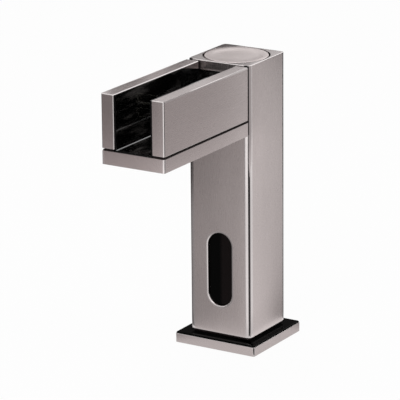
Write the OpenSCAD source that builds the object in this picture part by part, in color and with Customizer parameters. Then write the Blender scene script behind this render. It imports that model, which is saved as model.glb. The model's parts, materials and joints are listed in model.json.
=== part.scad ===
// Deck-mounted sensor tap with an open waterfall spout.
// Frame: +Z up, z = 0 on the deck, origin on the column's axis, spout towards -Y.
// The piece between two planes is named after what it does on the real tap.

/* [Column] */
// Width of the square column
col_w = 45; // [42:0.5:52]
// Height of the column's top above the deck
col_top = 189; // [187:1:230]
// Wall of the hollow column
col_wall = 3; // [2.5:0.1:3]
// Rounding of the upright edges
edge_r = 0.6; // [0.3:0.1:1.5]
// Thickness of the floor below the push button
head_floor_t = 3; // [2:0.5:4]
// Depth of the round pocket that holds the push button
head_pocket_h = 8; // [7.6:0.2:10]
// Metal left beside the pocket at its thinnest
head_rim_t = 1; // [0.8:0.1:2]

/* [Deck plate and foot] */
// How far the deck plate stands out past the column
plate_margin = 7.1; // [4:0.1:15]
// Thickness of the deck plate
plate_t = 6.2; // [5:0.1:8]
// Thickness of the glossy black cover on the plate
cover_t = 1; // [0.6:0.1:1.5]
// How far the cover's edge sits inside the plate's edge
cover_inset = 0.15; // [0.1:0.05:0.5]
// Thickness of the black gasket below the column
foot_gasket_t = 1.8; // [1:0.1:2.5]
// How far the gasket sits back from the column's faces
foot_gasket_inset = 1.6; // [0.5:0.1:2]
// Step from the column's faces in to the foot's round spigot
spigot_step = 5.5; // [5:0.1:6]
// Height of the foot inside the column
foot_h = 12; // [11:0.5:14]
// Radius of the check valve's boss on the foot
boss_r = 9; // [8:0.1:9.2]
// Height of the check valve's boss above the foot
boss_h = 13; // [12:0.5:16]
// Mean radius of the seal under the deck plate
base_seal_r = 23.5; // [21:0.5:26]
// Width of the seal under the deck plate
base_seal_w = 3; // [2:0.5:4]
// Depth of the seal's groove
base_seal_t = 1.5; // [1:0.1:2]
// Height of the grub screws above the foot's lower edge
grub_rise = 6; // [5:0.5:7]
// Distance of each grub screw from the column's side
grub_side = 10.5; // [8.5:0.5:13.5]
// Radius of a grub screw
grub_r = 2; // [1.5:0.25:2.5]
// Length of a grub screw
grub_l = 6; // [5:0.5:7]

/* [Deck connections] */
// Gap between the check valve's boss and the foot's rear edge
boss_gap = 0.3; // [0.1:0.1:0.5]
// Radius of the inlet's tapped hole, M10x1
port_r = 4.46; // [4:0.02:4.6]
// Depth of the inlet's tapped hole
port_h = 10; // [8:0.5:10]
// Distance of the fixing stud's hole from the spigot's edge
stud_edge = 9; // [8:0.1:9.5]
// Radius of the stud's tapped hole, M8
stud_r = 3.4; // [2.5:0.1:3.6]
// Depth of the stud's tapped hole
stud_h = 14; // [10:0.5:16]
// Distance of the cable's outlet from the spigot's edge
cable_edge = 6; // [5.5:0.1:6.5]
// Radius of the cable's passage through the grommet
cable_r = 2.25; // [1.5:0.05:2.5]
// Wall of the cable grommet
grommet_wall = 1.7; // [1:0.1:1.8]
// Width of the grommet's lip on the foot
grommet_lip = 1.2; // [0.8:0.1:1.4]
// Thickness of the grommet's lip
grommet_lip_t = 2; // [1:0.5:3]

/* [Spout] */
// Length of the spout from the column's face
spout_l = 99.6; // [80:0.2:140]
// Thickness of the spout's side walls
spout_wall = 9; // [8:0.1:10]
// Height of the spout's side walls
spout_wall_h = 35; // [34:0.5:40]
// Thickness of the spout's floor plate
spout_floor_t = 8.7; // [7:0.1:10]
// Step from the column's top down to the wall tops
wall_step = 0.5; // [0.2:0.1:2]
// Thickness of the gasket between walls and floor plate
wall_gasket_t = 0.7; // [0.5:0.1:1]
// How far that gasket sits back from the outer faces
wall_gasket_inset = 0.6; // [0.3:0.1:1]
// Thickness of the gasket between spout and column
seam_t = 0.5; // [0.3:0.1:0.8]
// How far the seam gasket sits back from the outer faces
seam_inset = 0.5; // [0.3:0.1:1]
// Thickness of the black trough liner
liner_t = 0.9; // [0.6:0.1:1.5]
// How far the liner's front edge sits back
liner_setback = 0.7; // [0.3:0.1:2]
// Bare metal shown above the liner at the trough's back
liner_back_drop = 5.2; // [3:0.1:8]
// Depth of the hidden pocket in each side wall
wall_pocket = 4; // [2:0.5:5]
// Metal left above and below that pocket
wall_pocket_rim = 6; // [5:0.5:8]
// Metal left before and behind that pocket
wall_pocket_end = 15; // [15:0.5:20]

/* [Push button] */
// Running gap round the push button
button_gap = 1; // [0.5:0.1:1.5]
// Thickness of the button's disc
button_t = 3; // [2.5:0.1:3]
// Travel of the button
button_travel = 2; // [1:0.1:2]
// Width of the flat rim round the button's dish
dish_rim = 2.75; // [2:0.05:5]
// Depth of the button's dish
dish_depth = 0.9; // [0.4:0.1:1.2]
// Radius of the button's stem
stem_r = 3; // [2.5:0.1:3.2]
// Radius of the button guide's barrel
guide_r = 6.5; // [6:0.1:7]
// Radius of the guide's flange
guide_flange_r = 9; // [8.5:0.1:10]
// Thickness of the guide's flange
guide_flange_t = 2; // [1.5:0.1:2]
// Length of the guide's barrel below the flange's gasket
guide_l = 11; // [10:0.5:12]
// Thickness of the gasket under the guide's flange
guide_gasket_t = 0.8; // [0.5:0.1:1]
// Radius of the spring's pocket in the guide
guide_pocket_r = 5; // [4.8:0.1:5.2]
// Length of the guide's running bore
guide_bore_l = 4; // [3:0.5:5]
// Width across the flats of the guide's nut
guide_nut_af = 19; // [17:0.5:20]
// Thickness of the guide's nut
guide_nut_t = 3; // [2:0.5:4]
// Thickness of the magnet on the stem's end
magnet_t = 2.5; // [1.5:0.5:3]
// Thickness of the sheet metal of the switch bracket
bracket_t = 1; // [0.8:0.1:1.5]
// Half width of the magnetic switch
switch_half = 5; // [4:0.5:5.5]
// Height of the magnetic switch
switch_h = 5; // [4:0.5:5]

/* [Water path] */
// Radius of the check valve's seat
seat_r = 3; // [2.5:0.1:3.5]
// Radius of the check valve's disc
poppet_r = 4.2; // [3.8:0.1:4.4]
// Lift of the check valve
check_lift = 1.5; // [1:0.1:1.8]
// Outer radius of the inlet tube
inlet_tube_r = 5; // [4.5:0.1:5.1]
// Wall of the inlet tube
inlet_tube_wall = 1.2; // [0.8:0.1:1.5]
// Outer radius of the outlet tube
outlet_tube_r = 3.8; // [3.5:0.1:3.9]
// Wall of the outlet tube
outlet_tube_wall = 1; // [0.8:0.1:1.2]
// Distance of the outlet tube's axis from the column's inner face
outlet_edge = 5.9; // [5.7:0.1:6.1]
// Distance of the water nozzle from the trough's sides
nozzle_side = 3; // [2.5:0.5:5.5]
// Height of the water nozzle
nozzle_h = 7; // [5:0.5:8]

/* [Solenoid valve] */
// Height of the valve body's underside above the sensor's ears
valve_rise = 3.2; // [2.2:0.1:4.2]
// Height of the valve body
valve_h = 20; // [19:0.5:21]
// Room for a lead beside the valve body
lead_room = 3.5; // [3.5:0.1:4.5]
// Radius of the main seat's bore
main_seat_r = 3; // [2.5:0.1:3.2]
// Width of the main seat's rim
main_seat_w = 1.2; // [1:0.1:1.4]
// Radius of the diaphragm's chamber
chamber_r = 7; // [6.6:0.1:7.4]
// Radius of the diaphragm
diaphragm_r = 9.5; // [9:0.1:9.8]
// Thickness of the diaphragm
diaphragm_t = 1.2; // [0.8:0.1:1.6]
// Lift of the diaphragm's centre
diaphragm_lift = 1.2; // [0.8:0.1:1.2]
// Radius of the plunger
plunger_r = 3; // [2.6:0.1:3.2]
// Lift of the plunger
plunger_lift = 2; // [1.5:0.1:2]
// Height of the coil between the yoke's plates
coil_h = 24; // [20:1:24]
// Outer radius of the coil
coil_r = 9.2; // [8:0.1:9.5]

/* [Sensor] */
// Width of the sensor's window
window_w = 16.8; // [14:0.2:18]
// Height of the sensor's window
window_h = 48.4; // [40:0.2:50]
// Height of the window's centre above the deck
window_z = 52; // [50:0.5:53]
// How far the lens sits back from the column's face
lens_recess = 2; // [1:0.1:2.2]
// Room beside the sensor's housing
housing_side = 6.5; // [6:0.1:7.5]
// Wall of the sensor's housing
housing_wall = 1.2; // [1:0.1:1.5]
// Depth of the sensor's housing
housing_d = 8.6; // [8:0.1:9]
// Half the distance between the infrared eyes
eye_half = 9; // [6:0.5:14]
// Radius of an infrared eye
eye_r = 2.5; // [1.5:0.25:2.5]

/* [Hidden] */
$fn = 48;
// Overrun of every cut
over = 1;
// Clearance of a loose fit, a thread and a running fit
fit = 0.1;
thread_fit = 0.05;
run_fit = 0.05;
// Gap kept between moving pieces at their stops
stop_gap = 0.2;

// Column
col_half = col_w / 2;
col_z0 = plate_t + cover_t + foot_gasket_t;
cavity_half = col_half - col_wall;
head_top = col_top - head_pocket_h;
head_under = head_top - head_floor_t;
pocket_r = col_half - head_rim_t;
wall_inner_y = -cavity_half;

// Deck plate and foot
plate_half = col_half + plate_margin;
foot_clear = 0.2;
foot_half = cavity_half - foot_clear;
foot_top = col_z0 + foot_h;
spigot_r = col_half - spigot_step;
port_y = foot_half - boss_r - boss_gap;
stud_y = spigot_r - stud_edge;
cable_x = spigot_r - cable_edge;
grub_x = col_half - grub_side;
boss_top = foot_top + boss_h;
grommet_r = cable_r + grommet_wall;
base_seal_fit = 0.05;
grub_hex_af = 2;
grub_recess = 0.3;

// Check valve and strainer in the foot
strainer_r = 4.2;
strainer_t = 1.2;
strainer_holes = 6;
strainer_hole_r = 0.7;
strainer_pitch_r = 2.6;
seat_land = 3.8;
check_chamber_r = 5;
cage_r = 5.45;
cage_t = 1.5;
cage_holes = 6;
cage_hole_r = 0.9;
cage_pitch_r = 3.4;
cage_shoulder = 0.5;
check_z = port_h + strainer_t + seat_land;
check_spring_low = 4.5;
check_spring_h = check_spring_low + check_lift;
poppet_t = 1.9;
poppet_gap = 0.1;
poppet_stem_r = 1.2;
cage_z = check_z + poppet_gap + poppet_t + check_spring_h;
poppet_stem_over = 1;
poppet_stem_top = cage_z + cage_t + poppet_stem_over;

// Adaptor that holds the inlet tube
adaptor_af = 16;
adaptor_h = 8;
adaptor_bore_r = 3.5;
adaptor_floor = 1.5;
inlet_socket_l = 5;
ring_r = 0.75;
ring_gland = ring_r + thread_fit;
inlet_gland_r = inlet_tube_r + 2 * ring_gland;
inlet_gland_h = 2;
adaptor_top = boss_top + adaptor_h;
tube_end_gap = 0.2;

// Sensor
housing_half = cavity_half - housing_side;
window_gasket_t = 0.5;
window_gasket_w = 2.2;
window_fit = 0.1;
lens_flange_w = 1.9;
lens_flange_t = 1.4;
lens_front = -col_half + lens_recess;
lens_flange_front = wall_inner_y + window_gasket_t;
housing_front = lens_flange_front + lens_flange_t;
housing_back = housing_front + housing_d;
housing_over = 6.6;
housing_top = window_z + window_h / 2 + housing_over;
housing_z0 = max(foot_top + foot_clear, window_z - window_h / 2 - housing_over);
sensor_cover_t = 1;
ear_h = 6;
ear_t = 3;
ear_screw_inset = 5;
ear_screw_x = housing_half - ear_screw_inset;
ear_screw_r = 1.5;
ear_screw_l = 5;
ear_head_r = 2.75;
ear_head_h = 2;
ear_hex_af = 2.5;
blind_gap = 0.2;
board_t = 1.6;
board_setback = 4;
board_margin = 0.8;
board_front = housing_front + board_setback;
ledge_t = 1.4;
ledge_h = 3.6;
connector_w = 8;
connector_d = 5;
connector_h = 9;
connector_z = 36;
connector_pocket_h = 6;
connector_wall = 1;

// Valve body
valve_z = housing_top + ear_h + valve_rise;
valve_half = cavity_half - lead_room;
valve_y = port_y - chamber_r;
outlet_y = cavity_half - outlet_edge;
valve_top = valve_z + valve_h;
valve_side_gap = 0.3;
valve_front = valve_side_gap - cavity_half;
valve_rear = cavity_half - valve_side_gap;
annulus_h = 7;
feed_r = 2.2;
cross_r = 2.5;
passage_wall = 1;
passage_sump = 0.5;
passage_floor = valve_z + inlet_socket_l + passage_wall;
cross_z = passage_floor + passage_sump + cross_r;
outlet_bore_r = outlet_tube_r - outlet_tube_wall;
outlet_socket_l = 5;
small_ring_r = 0.55;
small_gland = small_ring_r + thread_fit;
outlet_gland_r = outlet_tube_r + 2 * small_gland;
outlet_gland_h = 1.5;

// Bonnet, plunger and coil
bonnet_half = 11.6;
bonnet_roof = 2;
insert_t = 1.5;
chamber_gap = 0.3;
chamber_h = insert_t + diaphragm_lift + chamber_gap;
bonnet_top = valve_top + diaphragm_t + chamber_h + bonnet_roof;
guide_wall = 0.95;
core_r = plunger_r + run_fit;
core_tube_r = core_r + guide_wall;
yoke_t = 1;
yoke_half = 11;
yoke_depth = 7;
coil_z = bonnet_top + yoke_t;
coil_top = coil_z + coil_h;
coil_nut_t = 3;
coil_nut_af = 12;
core_cap = 1;
core_top = coil_top + yoke_t + coil_nut_t + core_cap;
plunger_gap = 0.1;
plunger_z0 = valve_top + diaphragm_t + insert_t + plunger_gap;
insert_r = 3.8;
pilot_r = 0.5;
plunger_l = 20;
core_end = plunger_z0 + plunger_l + plunger_lift + stop_gap;
plunger_pocket_r = 1.7;
plunger_pocket_h = 5;
bobbin_wall = 1;
bobbin_flange = 1.5;
winding_inset = 0.6;
terminal_w = 6;
terminal_d = 3.4;
terminal_h = 5;
terminal_rise = 3;
valve_screw_x = 9.3;
valve_screw_r = 1.25;
valve_screw_l = 11;
valve_head_r = 2.2;
valve_head_h = 2;
valve_hex_af = 2;

// Spout
spout_front = -col_half - spout_l;
spout_back = -col_half - seam_t;
spout_len = spout_back - spout_front;
spout_mid = (spout_back + spout_front) / 2;
wall_z1 = col_top - wall_step;
wall_z0 = wall_z1 - spout_wall_h;
floor_top = wall_z0 - wall_gasket_t;
floor_z0 = floor_top - spout_floor_t;
trough_half = col_half - spout_wall;
nozzle_half = trough_half - nozzle_side;
liner_fit = 0.05;
liner_half = trough_half - liner_fit;
liner_top = wall_z1 - liner_t / 3;
liner_front = spout_front + liner_setback;
liner_back = -col_half - liner_fit;

// Spout screws
wall_screw_r = 1.5;
wall_screw_l = 14;
wall_head_r = 2.75;
wall_head_h = 2.8;
wall_hex_af = 2.5;
wall_screw_x = trough_half + 2.4;
wall_screw_rise = 8;
wall_screw_span = 13;
floor_screw_x = trough_half + spout_wall / 2;
floor_screw_inset = 22;
floor_screw_l = 14;
floor_head_r = 3;
floor_head_h = 1.7;
floor_drive_w = 1;
floor_drive_l = 3.4;
floor_drive_h = 1;

// Manifold and nozzle
nozzle_rise = 1.2;
nozzle_z0 = floor_top + liner_t + nozzle_rise;
manifold_boss_half = 6.5;
manifold_screw_x = manifold_boss_half + wall_head_r + fit;
manifold_lug_half = manifold_screw_x + wall_head_r;
manifold_lug_t = 3;
manifold_z0 = floor_z0 + wall_gasket_t;
manifold_front = -cavity_half + fit;
manifold_boss_rear = 6;
manifold_rear = manifold_boss_rear - outlet_y;
manifold_roof = 2;
manifold_top = nozzle_z0 + nozzle_h + manifold_roof;
nozzle_wall = 1;
nozzle_fit = 0.1;
nozzle_front = -col_half - seam_t;
manifold_screw_z = (manifold_z0 + floor_top) / 2;
manifold_screw_l = 14;
screen_t = 1.2;
screen_bars = 9;
screen_bar_w = 0.6;
screen_recess = 1;

// Push button
button_r = pocket_r - button_gap;
button_z0 = col_top - button_t;
dish_r = button_r - dish_rim;
dish_sphere_r = (dish_r * dish_r + dish_depth * dish_depth) / (2 * dish_depth);
dish_steps = 10;
guide_seat = head_top + guide_gasket_t;
guide_top = guide_seat + guide_flange_t;
guide_z0 = guide_seat - guide_l;
guide_pocket_z = guide_z0 + guide_bore_l;
clip_t = 0.8;
clip_groove_r = 2.3;
clip_r = 4.6;
clip_mouth = 1.6;
stem_below = 1.2;
clip_z1 = guide_z0 - stop_gap;
stem_z0 = clip_z1 - clip_t - stem_below;
magnet_r = 2.5;
bracket_top = head_under;
nut_top = bracket_top - bracket_t;
strap_half = 4;
strap_clear = 2;
strap_y = guide_nut_af / 2 + strap_clear;
switch_gap = 0.5;
switch_top = stem_z0 - magnet_t - button_travel - switch_gap;
switch_z0 = switch_top - switch_h;

// Springs: mean radius, wire radius and number of curls
button_spring_r = 3.95;
button_wire_r = 0.4;
button_curls = 5;
plunger_spring_r = 1.15;
plunger_wire_r = 0.22;
plunger_curls = 7;
check_spring_r = 2.3;
check_wire_r = 0.25;
check_curls = 5;
curl_rings = 8;
wire_sides = 6;

// Inner leads: radius, and the points that each follows from its socket to the sensor's housing
lead_r = 1;
lead_sides = 8;
lead_side = 1.75;
lead_x = cavity_half - lead_side;
lead_inset = 2;
lead_in_x = housing_half - lead_inset;
lead_setback = 7;
lead_in_y = cavity_half - lead_setback;
lead_drop = 1.8;
lead_end = [for (k = [2, 1, 0]) [lead_in_x, -lead_in_y, housing_top + k * lead_drop]];
// Bends round the valve body's lower edge, measured from its underside beside it, inwards
valve_bends = [[0, 0, 9], [0, -1, 3], [-0.15, -3, 0], [-1.35, -6, -2.4], [-3.95, -9.4, -4],
    [-5.95, -11.8, -5]];
valve_way = [for (p = valve_bends) p + [lead_x, 0, valve_z]];
// Bends from the switch over to the column's side, measured from the lead's height there
switch_bends = [[6.5, 0, 0], [8, 0, 0], [12, 0, -1.6], [15.4, 0, -4.6], [17.3, 0, -9.6], [lead_x, 0, -16]];
switch_lead_z = switch_z0 + switch_h / 2;
switch_run = 4;
switch_run_top = switch_lead_z + switch_bends[len(switch_bends) - 1].z;
switch_run_end = valve_z + valve_bends[0].z;
switch_lead = concat(
    [[switch_half, 0, switch_lead_z]],
    [for (p = switch_bends) p + [0, 0, switch_lead_z]],
    [for (k = [1 : switch_run - 1])
        [lead_x, 0, switch_run_top + (switch_run_end - switch_run_top) * k / switch_run]],
    valve_way,
    lead_end);
// Bends from the coil's terminals over to the column's side, measured like the valve's bends
coil_bends = [[-6.75, 13.6, 32.2], [-2.75, 12, 29.6], [-0.45, 10, 25.5], [0, 8, 20], [0, 4, 14]];
coil_way = [for (p = coil_bends) p + [lead_x, 0, valve_z]];
coil_lead_z = coil_z + terminal_rise + terminal_h / 2;
coil_lead_y = valve_y + coil_r + terminal_d / 2;
coil_lead = concat(
    [for (x = [-terminal_w / 2, -4.5, -6]) [x, coil_lead_y, coil_lead_z]],
    [for (p = concat(coil_way, valve_way, lead_end)) [-p.x, p.y, p.z]]);

// Colours
nickel = [0.62, 0.57, 0.56];
gloss_black = [0.02, 0.02, 0.02];
rubber = [0.07, 0.07, 0.07];
brass = [0.78, 0.62, 0.32];
steel = [0.72, 0.73, 0.75];
copper = [0.72, 0.38, 0.2];
ivory = [0.85, 0.84, 0.78];
circuit_green = [0.08, 0.35, 0.18];

// Square with rounded corners, w wide and d deep
module rounded_square(w, d, r) {
    square([w - 2 * r, d], center = true);
    square([w, d - 2 * r], center = true);
    for (sx = [-1, 1], sy = [-1, 1])
        translate([sx * (w / 2 - r), sy * (d / 2 - r)]) circle(r = r);
}

// Upright bar of that outline from z0 to z1
module bar(w, d, r, z0, z1) {
    translate([0, 0, z0]) linear_extrude(z1 - z0) rounded_square(w, d, r);
}

// Box between two corners
module span_box(a, b) {
    translate(a) cube(b - a);
}

// Upright rod at [x, y] from z0 to z1
module rod(x, y, r, z0, z1) {
    translate([x, y, z0]) cylinder(r = r, h = z1 - z0);
}

// Upright six-sided bar, af across its flats, with two flats facing +Y and -Y
module hex_bar(x, y, af, z0, z1) {
    translate([x, y, z0]) cylinder(r = af / (2 * cos(30)), h = z1 - z0, $fn = 6);
}

// Rubber ring with its centre circle at height z
module rubber_ring(x, y, z, r, section) {
    translate([x, y, z]) rotate_extrude() translate([r, 0]) circle(r = section);
}

// Upright oblong, w wide and h tall, between two y planes
module oblong(w, h, y0, y1) {
    translate([0, y1, window_z]) rotate([90, 0, 0]) linear_extrude(y1 - y0) {
        square([w, h - w], center = true);
        for (s = [-1, 1]) translate([0, s * (h - w) / 2]) circle(r = w / 2);
    }
}

// Screw along +Z with its head below z = 0 and its shank above
module cap_screw(r, l, head_r, head_h, af) {
    difference() {
        union() {
            translate([0, 0, -head_h / 2]) cylinder(r = r, h = l + head_h / 2);
            translate([0, 0, -head_h]) cylinder(r = head_r, h = head_h);
        }
        translate([0, 0, -head_h - over])
            cylinder(r = af / (2 * cos(30)), h = head_h / 2 + over, $fn = 6);
    }
}

// Height of the button's dish at distance x from its centre, measured from the rim
function dish_height(x) = dish_sphere_r - dish_depth - sqrt(dish_sphere_r * dish_sphere_r - x * x);

// Direction square to a tube's path
function ring_frame(t) = let (u = cross(t, [1, 1, 1])) u / norm(u);

// Points of a tube's rings along a path
function tube_rings(path, r, sides) = [
    for (i = [0 : len(path) - 1])
        let (
            a = path[max(i - 1, 0)],
            b = path[min(i + 1, len(path) - 1)],
            t = (b - a) / norm(b - a),
            u = ring_frame(t),
            v = cross(t, u))
        for (k = [0 : sides - 1])
            path[i] + r * (cos(360 * k / sides) * u + sin(360 * k / sides) * v)];

// Closed tube along a path, one ring of points at each point
module swept_tube(path, r, sides) {
    n = len(path);
    polyhedron(
        points = tube_rings(path, r, sides),
        faces = concat(
            [[for (k = [0 : sides - 1]) k]],
            [[for (k = [sides - 1 : -1 : 0]) (n - 1) * sides + k]],
            [for (i = [0 : n - 2], k = [0 : sides - 1])
                let (j = (k + 1) % sides)
                [i * sides + k, (i + 1) * sides + k, i * sides + j]],
            [for (i = [0 : n - 2], k = [0 : sides - 1])
                let (j = (k + 1) % sides)
                [i * sides + j, (i + 1) * sides + k, (i + 1) * sides + j]]));
}

// Smooth path through hand-picked points, cut in equal steps between each pair
function smooth(points, steps) = [
    for (i = [0 : len(points) - 2], s = [0 : steps - 1])
        let (
            p0 = points[max(i - 1, 0)], p1 = points[i], p2 = points[i + 1],
            p3 = points[min(i + 2, len(points) - 1)], t = s / steps)
        ((2 * p1) + (p2 - p0) * t + (2 * p0 - 5 * p1 + 4 * p2 - p3) * t * t
            + (3 * p1 - p0 - 3 * p2 + p3) * t * t * t) / 2,
    points[len(points) - 1]];

// Points of a coil spring's wire from height z0 to z1
function coil_path(r, wire, curls, z0, z1) = [
    for (i = [0 : curls * curl_rings])
        let (turn = i / curl_rings)
        [r * cos(360 * turn), r * sin(360 * turn),
            z0 + wire + (z1 - z0 - 2 * wire) * turn / curls]];

// Least free gap between a coil's neighbouring curls
function coil_gap(path, wire) = min([
    for (i = [0 : len(path) - 1 - curl_rings / 2])
        for (j = [i + curl_rings / 2 : len(path) - 1])
            norm(path[i] - path[j])]) - 2 * wire;

module coil_spring(x, y, r, wire, curls, z0, z1, name) {
    path = coil_path(r, wire, curls, z0, z1);
    echo(str("least gap in ", name, " is ", coil_gap(path, wire), " mm"));
    translate([x, y, 0]) swept_tube(path, wire, wire_sides);
}

// Every place of a spout screw that goes into a side wall from inside the column
module at_wall_screws() {
    for (s = [-1, 1], k = [0, 1])
        translate([s * wall_screw_x, wall_inner_y, wall_z0 + wall_screw_rise + k * wall_screw_span])
            rotate([90, 0, 0]) children();
}

// Every place of a screw that holds the manifold and the spout's floor plate
module at_manifold_screws() {
    for (s = [-1, 1])
        translate([s * manifold_screw_x, manifold_front + manifold_lug_t, manifold_screw_z])
            rotate([90, 0, 0]) children();
}

// Every place of a screw that holds a side wall down on the floor plate
module at_floor_screws() {
    for (s = [-1, 1], y = [spout_back - floor_screw_inset, spout_front + floor_screw_inset])
        translate([s * floor_screw_x, y, floor_z0]) children();
}

// Every place of a grub screw in the column's rear wall
module at_grub_screws() {
    for (s = [-1, 1])
        translate([s * grub_x, col_half - grub_recess, col_z0 + grub_rise])
            rotate([90, 0, 0]) children();
}

// Every place of a sensor screw
module at_sensor_screws() {
    for (s = [-1, 1])
        translate([s * ear_screw_x, wall_inner_y + fit + ear_t, housing_top + ear_h / 2])
            rotate([90, 0, 0]) children();
}

// Every place of a screw that holds the bonnet
module at_valve_screws() {
    for (sx = [-1, 1], sy = [-1, 1])
        translate([sx * valve_screw_x, valve_y + sy * valve_screw_x, bonnet_top])
            mirror([0, 0, 1]) children();
}

module column_body() {
    color(nickel) difference() {
        bar(col_w, col_w, edge_r, col_z0, col_top);
        span_box([-cavity_half, -cavity_half, col_z0 - over], [cavity_half, cavity_half, head_under]);
        rod(0, 0, pocket_r, head_top, col_top + over);
        rod(0, 0, guide_r + fit, head_under - over, head_top + over);
        oblong(window_w, window_h, -col_half - over, wall_inner_y + over);
        span_box([-nozzle_half - nozzle_fit, -col_half - over, nozzle_z0 - nozzle_fit],
            [nozzle_half + nozzle_fit, wall_inner_y + over, nozzle_z0 + nozzle_h + nozzle_fit]);
        at_wall_screws() translate([0, 0, -over])
            cylinder(r = wall_screw_r + thread_fit, h = col_wall + 2 * over);
        at_manifold_screws() cylinder(r = wall_screw_r + thread_fit, h = manifold_lug_t + col_wall + over);
        at_grub_screws() translate([0, 0, -over])
            cylinder(r = grub_r + thread_fit, h = col_wall + 2 * over);
        at_sensor_screws() cylinder(r = ear_screw_r + thread_fit, h = ear_screw_l + blind_gap);
    }
}

module foot_block() {
    color(brass) difference() {
        union() {
            rod(0, 0, spigot_r, 0, col_z0);
            span_box([-foot_half, -foot_half, col_z0], [foot_half, foot_half, foot_top]);
            rod(0, port_y, boss_r, col_z0, boss_top);
        }
        rod(0, port_y, port_r, -over, port_h);
        rod(0, port_y, strainer_r + thread_fit, 0, port_h + strainer_t);
        rod(0, port_y, seat_r, 0, check_z + over);
        rod(0, port_y, check_chamber_r, check_z, cage_z + over);
        rod(0, port_y, check_chamber_r + cage_shoulder, cage_z, boss_top + over);
        rod(0, -stud_y, stud_r, -over, stud_h);
        rod(-cable_x, 0, grommet_r + thread_fit, -over, foot_top + over);
        at_grub_screws() cylinder(r = grub_r + thread_fit, h = grub_l + blind_gap);
    }
}

module deck_plate() {
    color(nickel) difference() {
        bar(2 * plate_half, 2 * plate_half, edge_r, 0, plate_t);
        rod(0, 0, spigot_r + fit, -over, plate_t + over);
        difference() {
            rod(0, 0, base_seal_r + base_seal_w / 2, -over, base_seal_t);
            rod(0, 0, base_seal_r - base_seal_w / 2, -2 * over, base_seal_t + over);
        }
    }
}

module deck_plate_cover() {
    cover_w = 2 * (plate_half - cover_inset);
    color(gloss_black) difference() {
        bar(cover_w, cover_w, edge_r, plate_t, plate_t + cover_t);
        rod(0, 0, spigot_r + fit, plate_t - over, plate_t + cover_t + over);
    }
}

module foot_gasket() {
    gasket_w = 2 * (col_half - foot_gasket_inset);
    color(rubber) difference() {
        bar(gasket_w, gasket_w, edge_r, plate_t + cover_t, col_z0);
        rod(0, 0, spigot_r + fit, plate_t, col_z0 + over);
    }
}

module base_seal() {
    color(rubber) difference() {
        rod(0, 0, base_seal_r + base_seal_w / 2 - base_seal_fit, 0, base_seal_t);
        rod(0, 0, base_seal_r - base_seal_w / 2 + base_seal_fit, -over, base_seal_t + over);
    }
}

module column_grub_screws() {
    color(steel) at_grub_screws() difference() {
        cylinder(r = grub_r, h = grub_l);
        translate([0, 0, -over]) cylinder(r = grub_hex_af / (2 * cos(30)), h = grub_l / 3 + over, $fn = 6);
    }
}

// Side wall of the spout; side is -1 for the left one and 1 for the right one
module spout_side(side) {
    pocket_x0 = side > 0 ? trough_half - over : -trough_half - wall_pocket;
    pocket_x1 = side > 0 ? trough_half + wall_pocket : over - trough_half;
    difference() {
        translate([side * (trough_half + spout_wall / 2), spout_mid, 0])
            bar(spout_wall, spout_len, edge_r, wall_z0, wall_z1);
        span_box([pocket_x0, spout_front + wall_pocket_end, wall_z0 + wall_pocket_rim],
            [pocket_x1, spout_back - wall_pocket_end, wall_z1 - wall_pocket_rim]);
        at_wall_screws() cylinder(r = wall_screw_r + thread_fit, h = wall_screw_l + over);
        at_floor_screws() cylinder(r = wall_screw_r + thread_fit, h = floor_screw_l + over);
    }
}

module spout_left_wall() {
    color(nickel) spout_side(-1);
}

module spout_right_wall() {
    color(nickel) spout_side(1);
}

module spout_floor() {
    color(nickel) difference() {
        translate([0, spout_mid, 0]) bar(col_w, spout_len, edge_r, floor_z0, floor_top);
        at_floor_screws() {
            translate([0, 0, -over]) cylinder(r = wall_screw_r + fit, h = spout_floor_t + 2 * over);
            cylinder(r1 = floor_head_r + fit, r2 = wall_screw_r + fit, h = floor_head_h);
            translate([0, 0, -over]) cylinder(r = floor_head_r + fit, h = over);
        }
        at_manifold_screws() cylinder(r = wall_screw_r + thread_fit, h = manifold_screw_l + over);
    }
}

module wall_gaskets() {
    gasket_w = spout_wall - 2 * wall_gasket_inset;
    gasket_l = spout_len - wall_gasket_inset;
    color(rubber) difference() {
        for (s = [-1, 1])
            translate([s * (trough_half + spout_wall / 2), spout_back - gasket_l / 2, 0])
                bar(gasket_w, gasket_l, edge_r, floor_top, wall_z0);
        at_floor_screws() cylinder(r = wall_screw_r + fit, h = spout_floor_t + 2 * over);
    }
}

module trough_liner() {
    back_y = liner_back - liner_t - seam_t;
    color(gloss_black) difference() {
        span_box([-liner_half, liner_front, floor_top], [liner_half, liner_back, liner_top]);
        span_box([-liner_half + liner_t, liner_front - over, floor_top + liner_t],
            [liner_half - liner_t, back_y, liner_top + over]);
        span_box([-liner_half + liner_t, back_y - over, wall_z1 - liner_back_drop],
            [liner_half - liner_t, liner_back + over, liner_top + over]);
        span_box([-nozzle_half - nozzle_fit, back_y - over, nozzle_z0 - nozzle_fit],
            [nozzle_half + nozzle_fit, liner_back + over, nozzle_z0 + nozzle_h + nozzle_fit]);
    }
}

module spout_gasket() {
    color(rubber) difference() {
        span_box([-col_half + seam_inset, spout_back, floor_z0 + seam_inset],
            [col_half - seam_inset, -col_half, wall_z1 - seam_inset]);
        span_box([-trough_half, spout_back - over, floor_top],
            [trough_half, over - col_half, wall_z1 + over]);
        at_wall_screws() cylinder(r = wall_screw_r + fit, h = wall_screw_l);
        at_manifold_screws() cylinder(r = wall_screw_r + fit, h = manifold_screw_l);
    }
}

module spout_floor_screws() {
    color(steel) at_floor_screws() difference() {
        union() {
            cylinder(r = wall_screw_r, h = floor_screw_l);
            cylinder(r1 = floor_head_r, r2 = wall_screw_r, h = floor_head_h);
        }
        for (turn = [0, 90]) rotate([0, 0, turn])
            translate([0, 0, floor_drive_h / 2 - over / 2])
                cube([floor_drive_l, floor_drive_w, floor_drive_h + over], center = true);
    }
}

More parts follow.
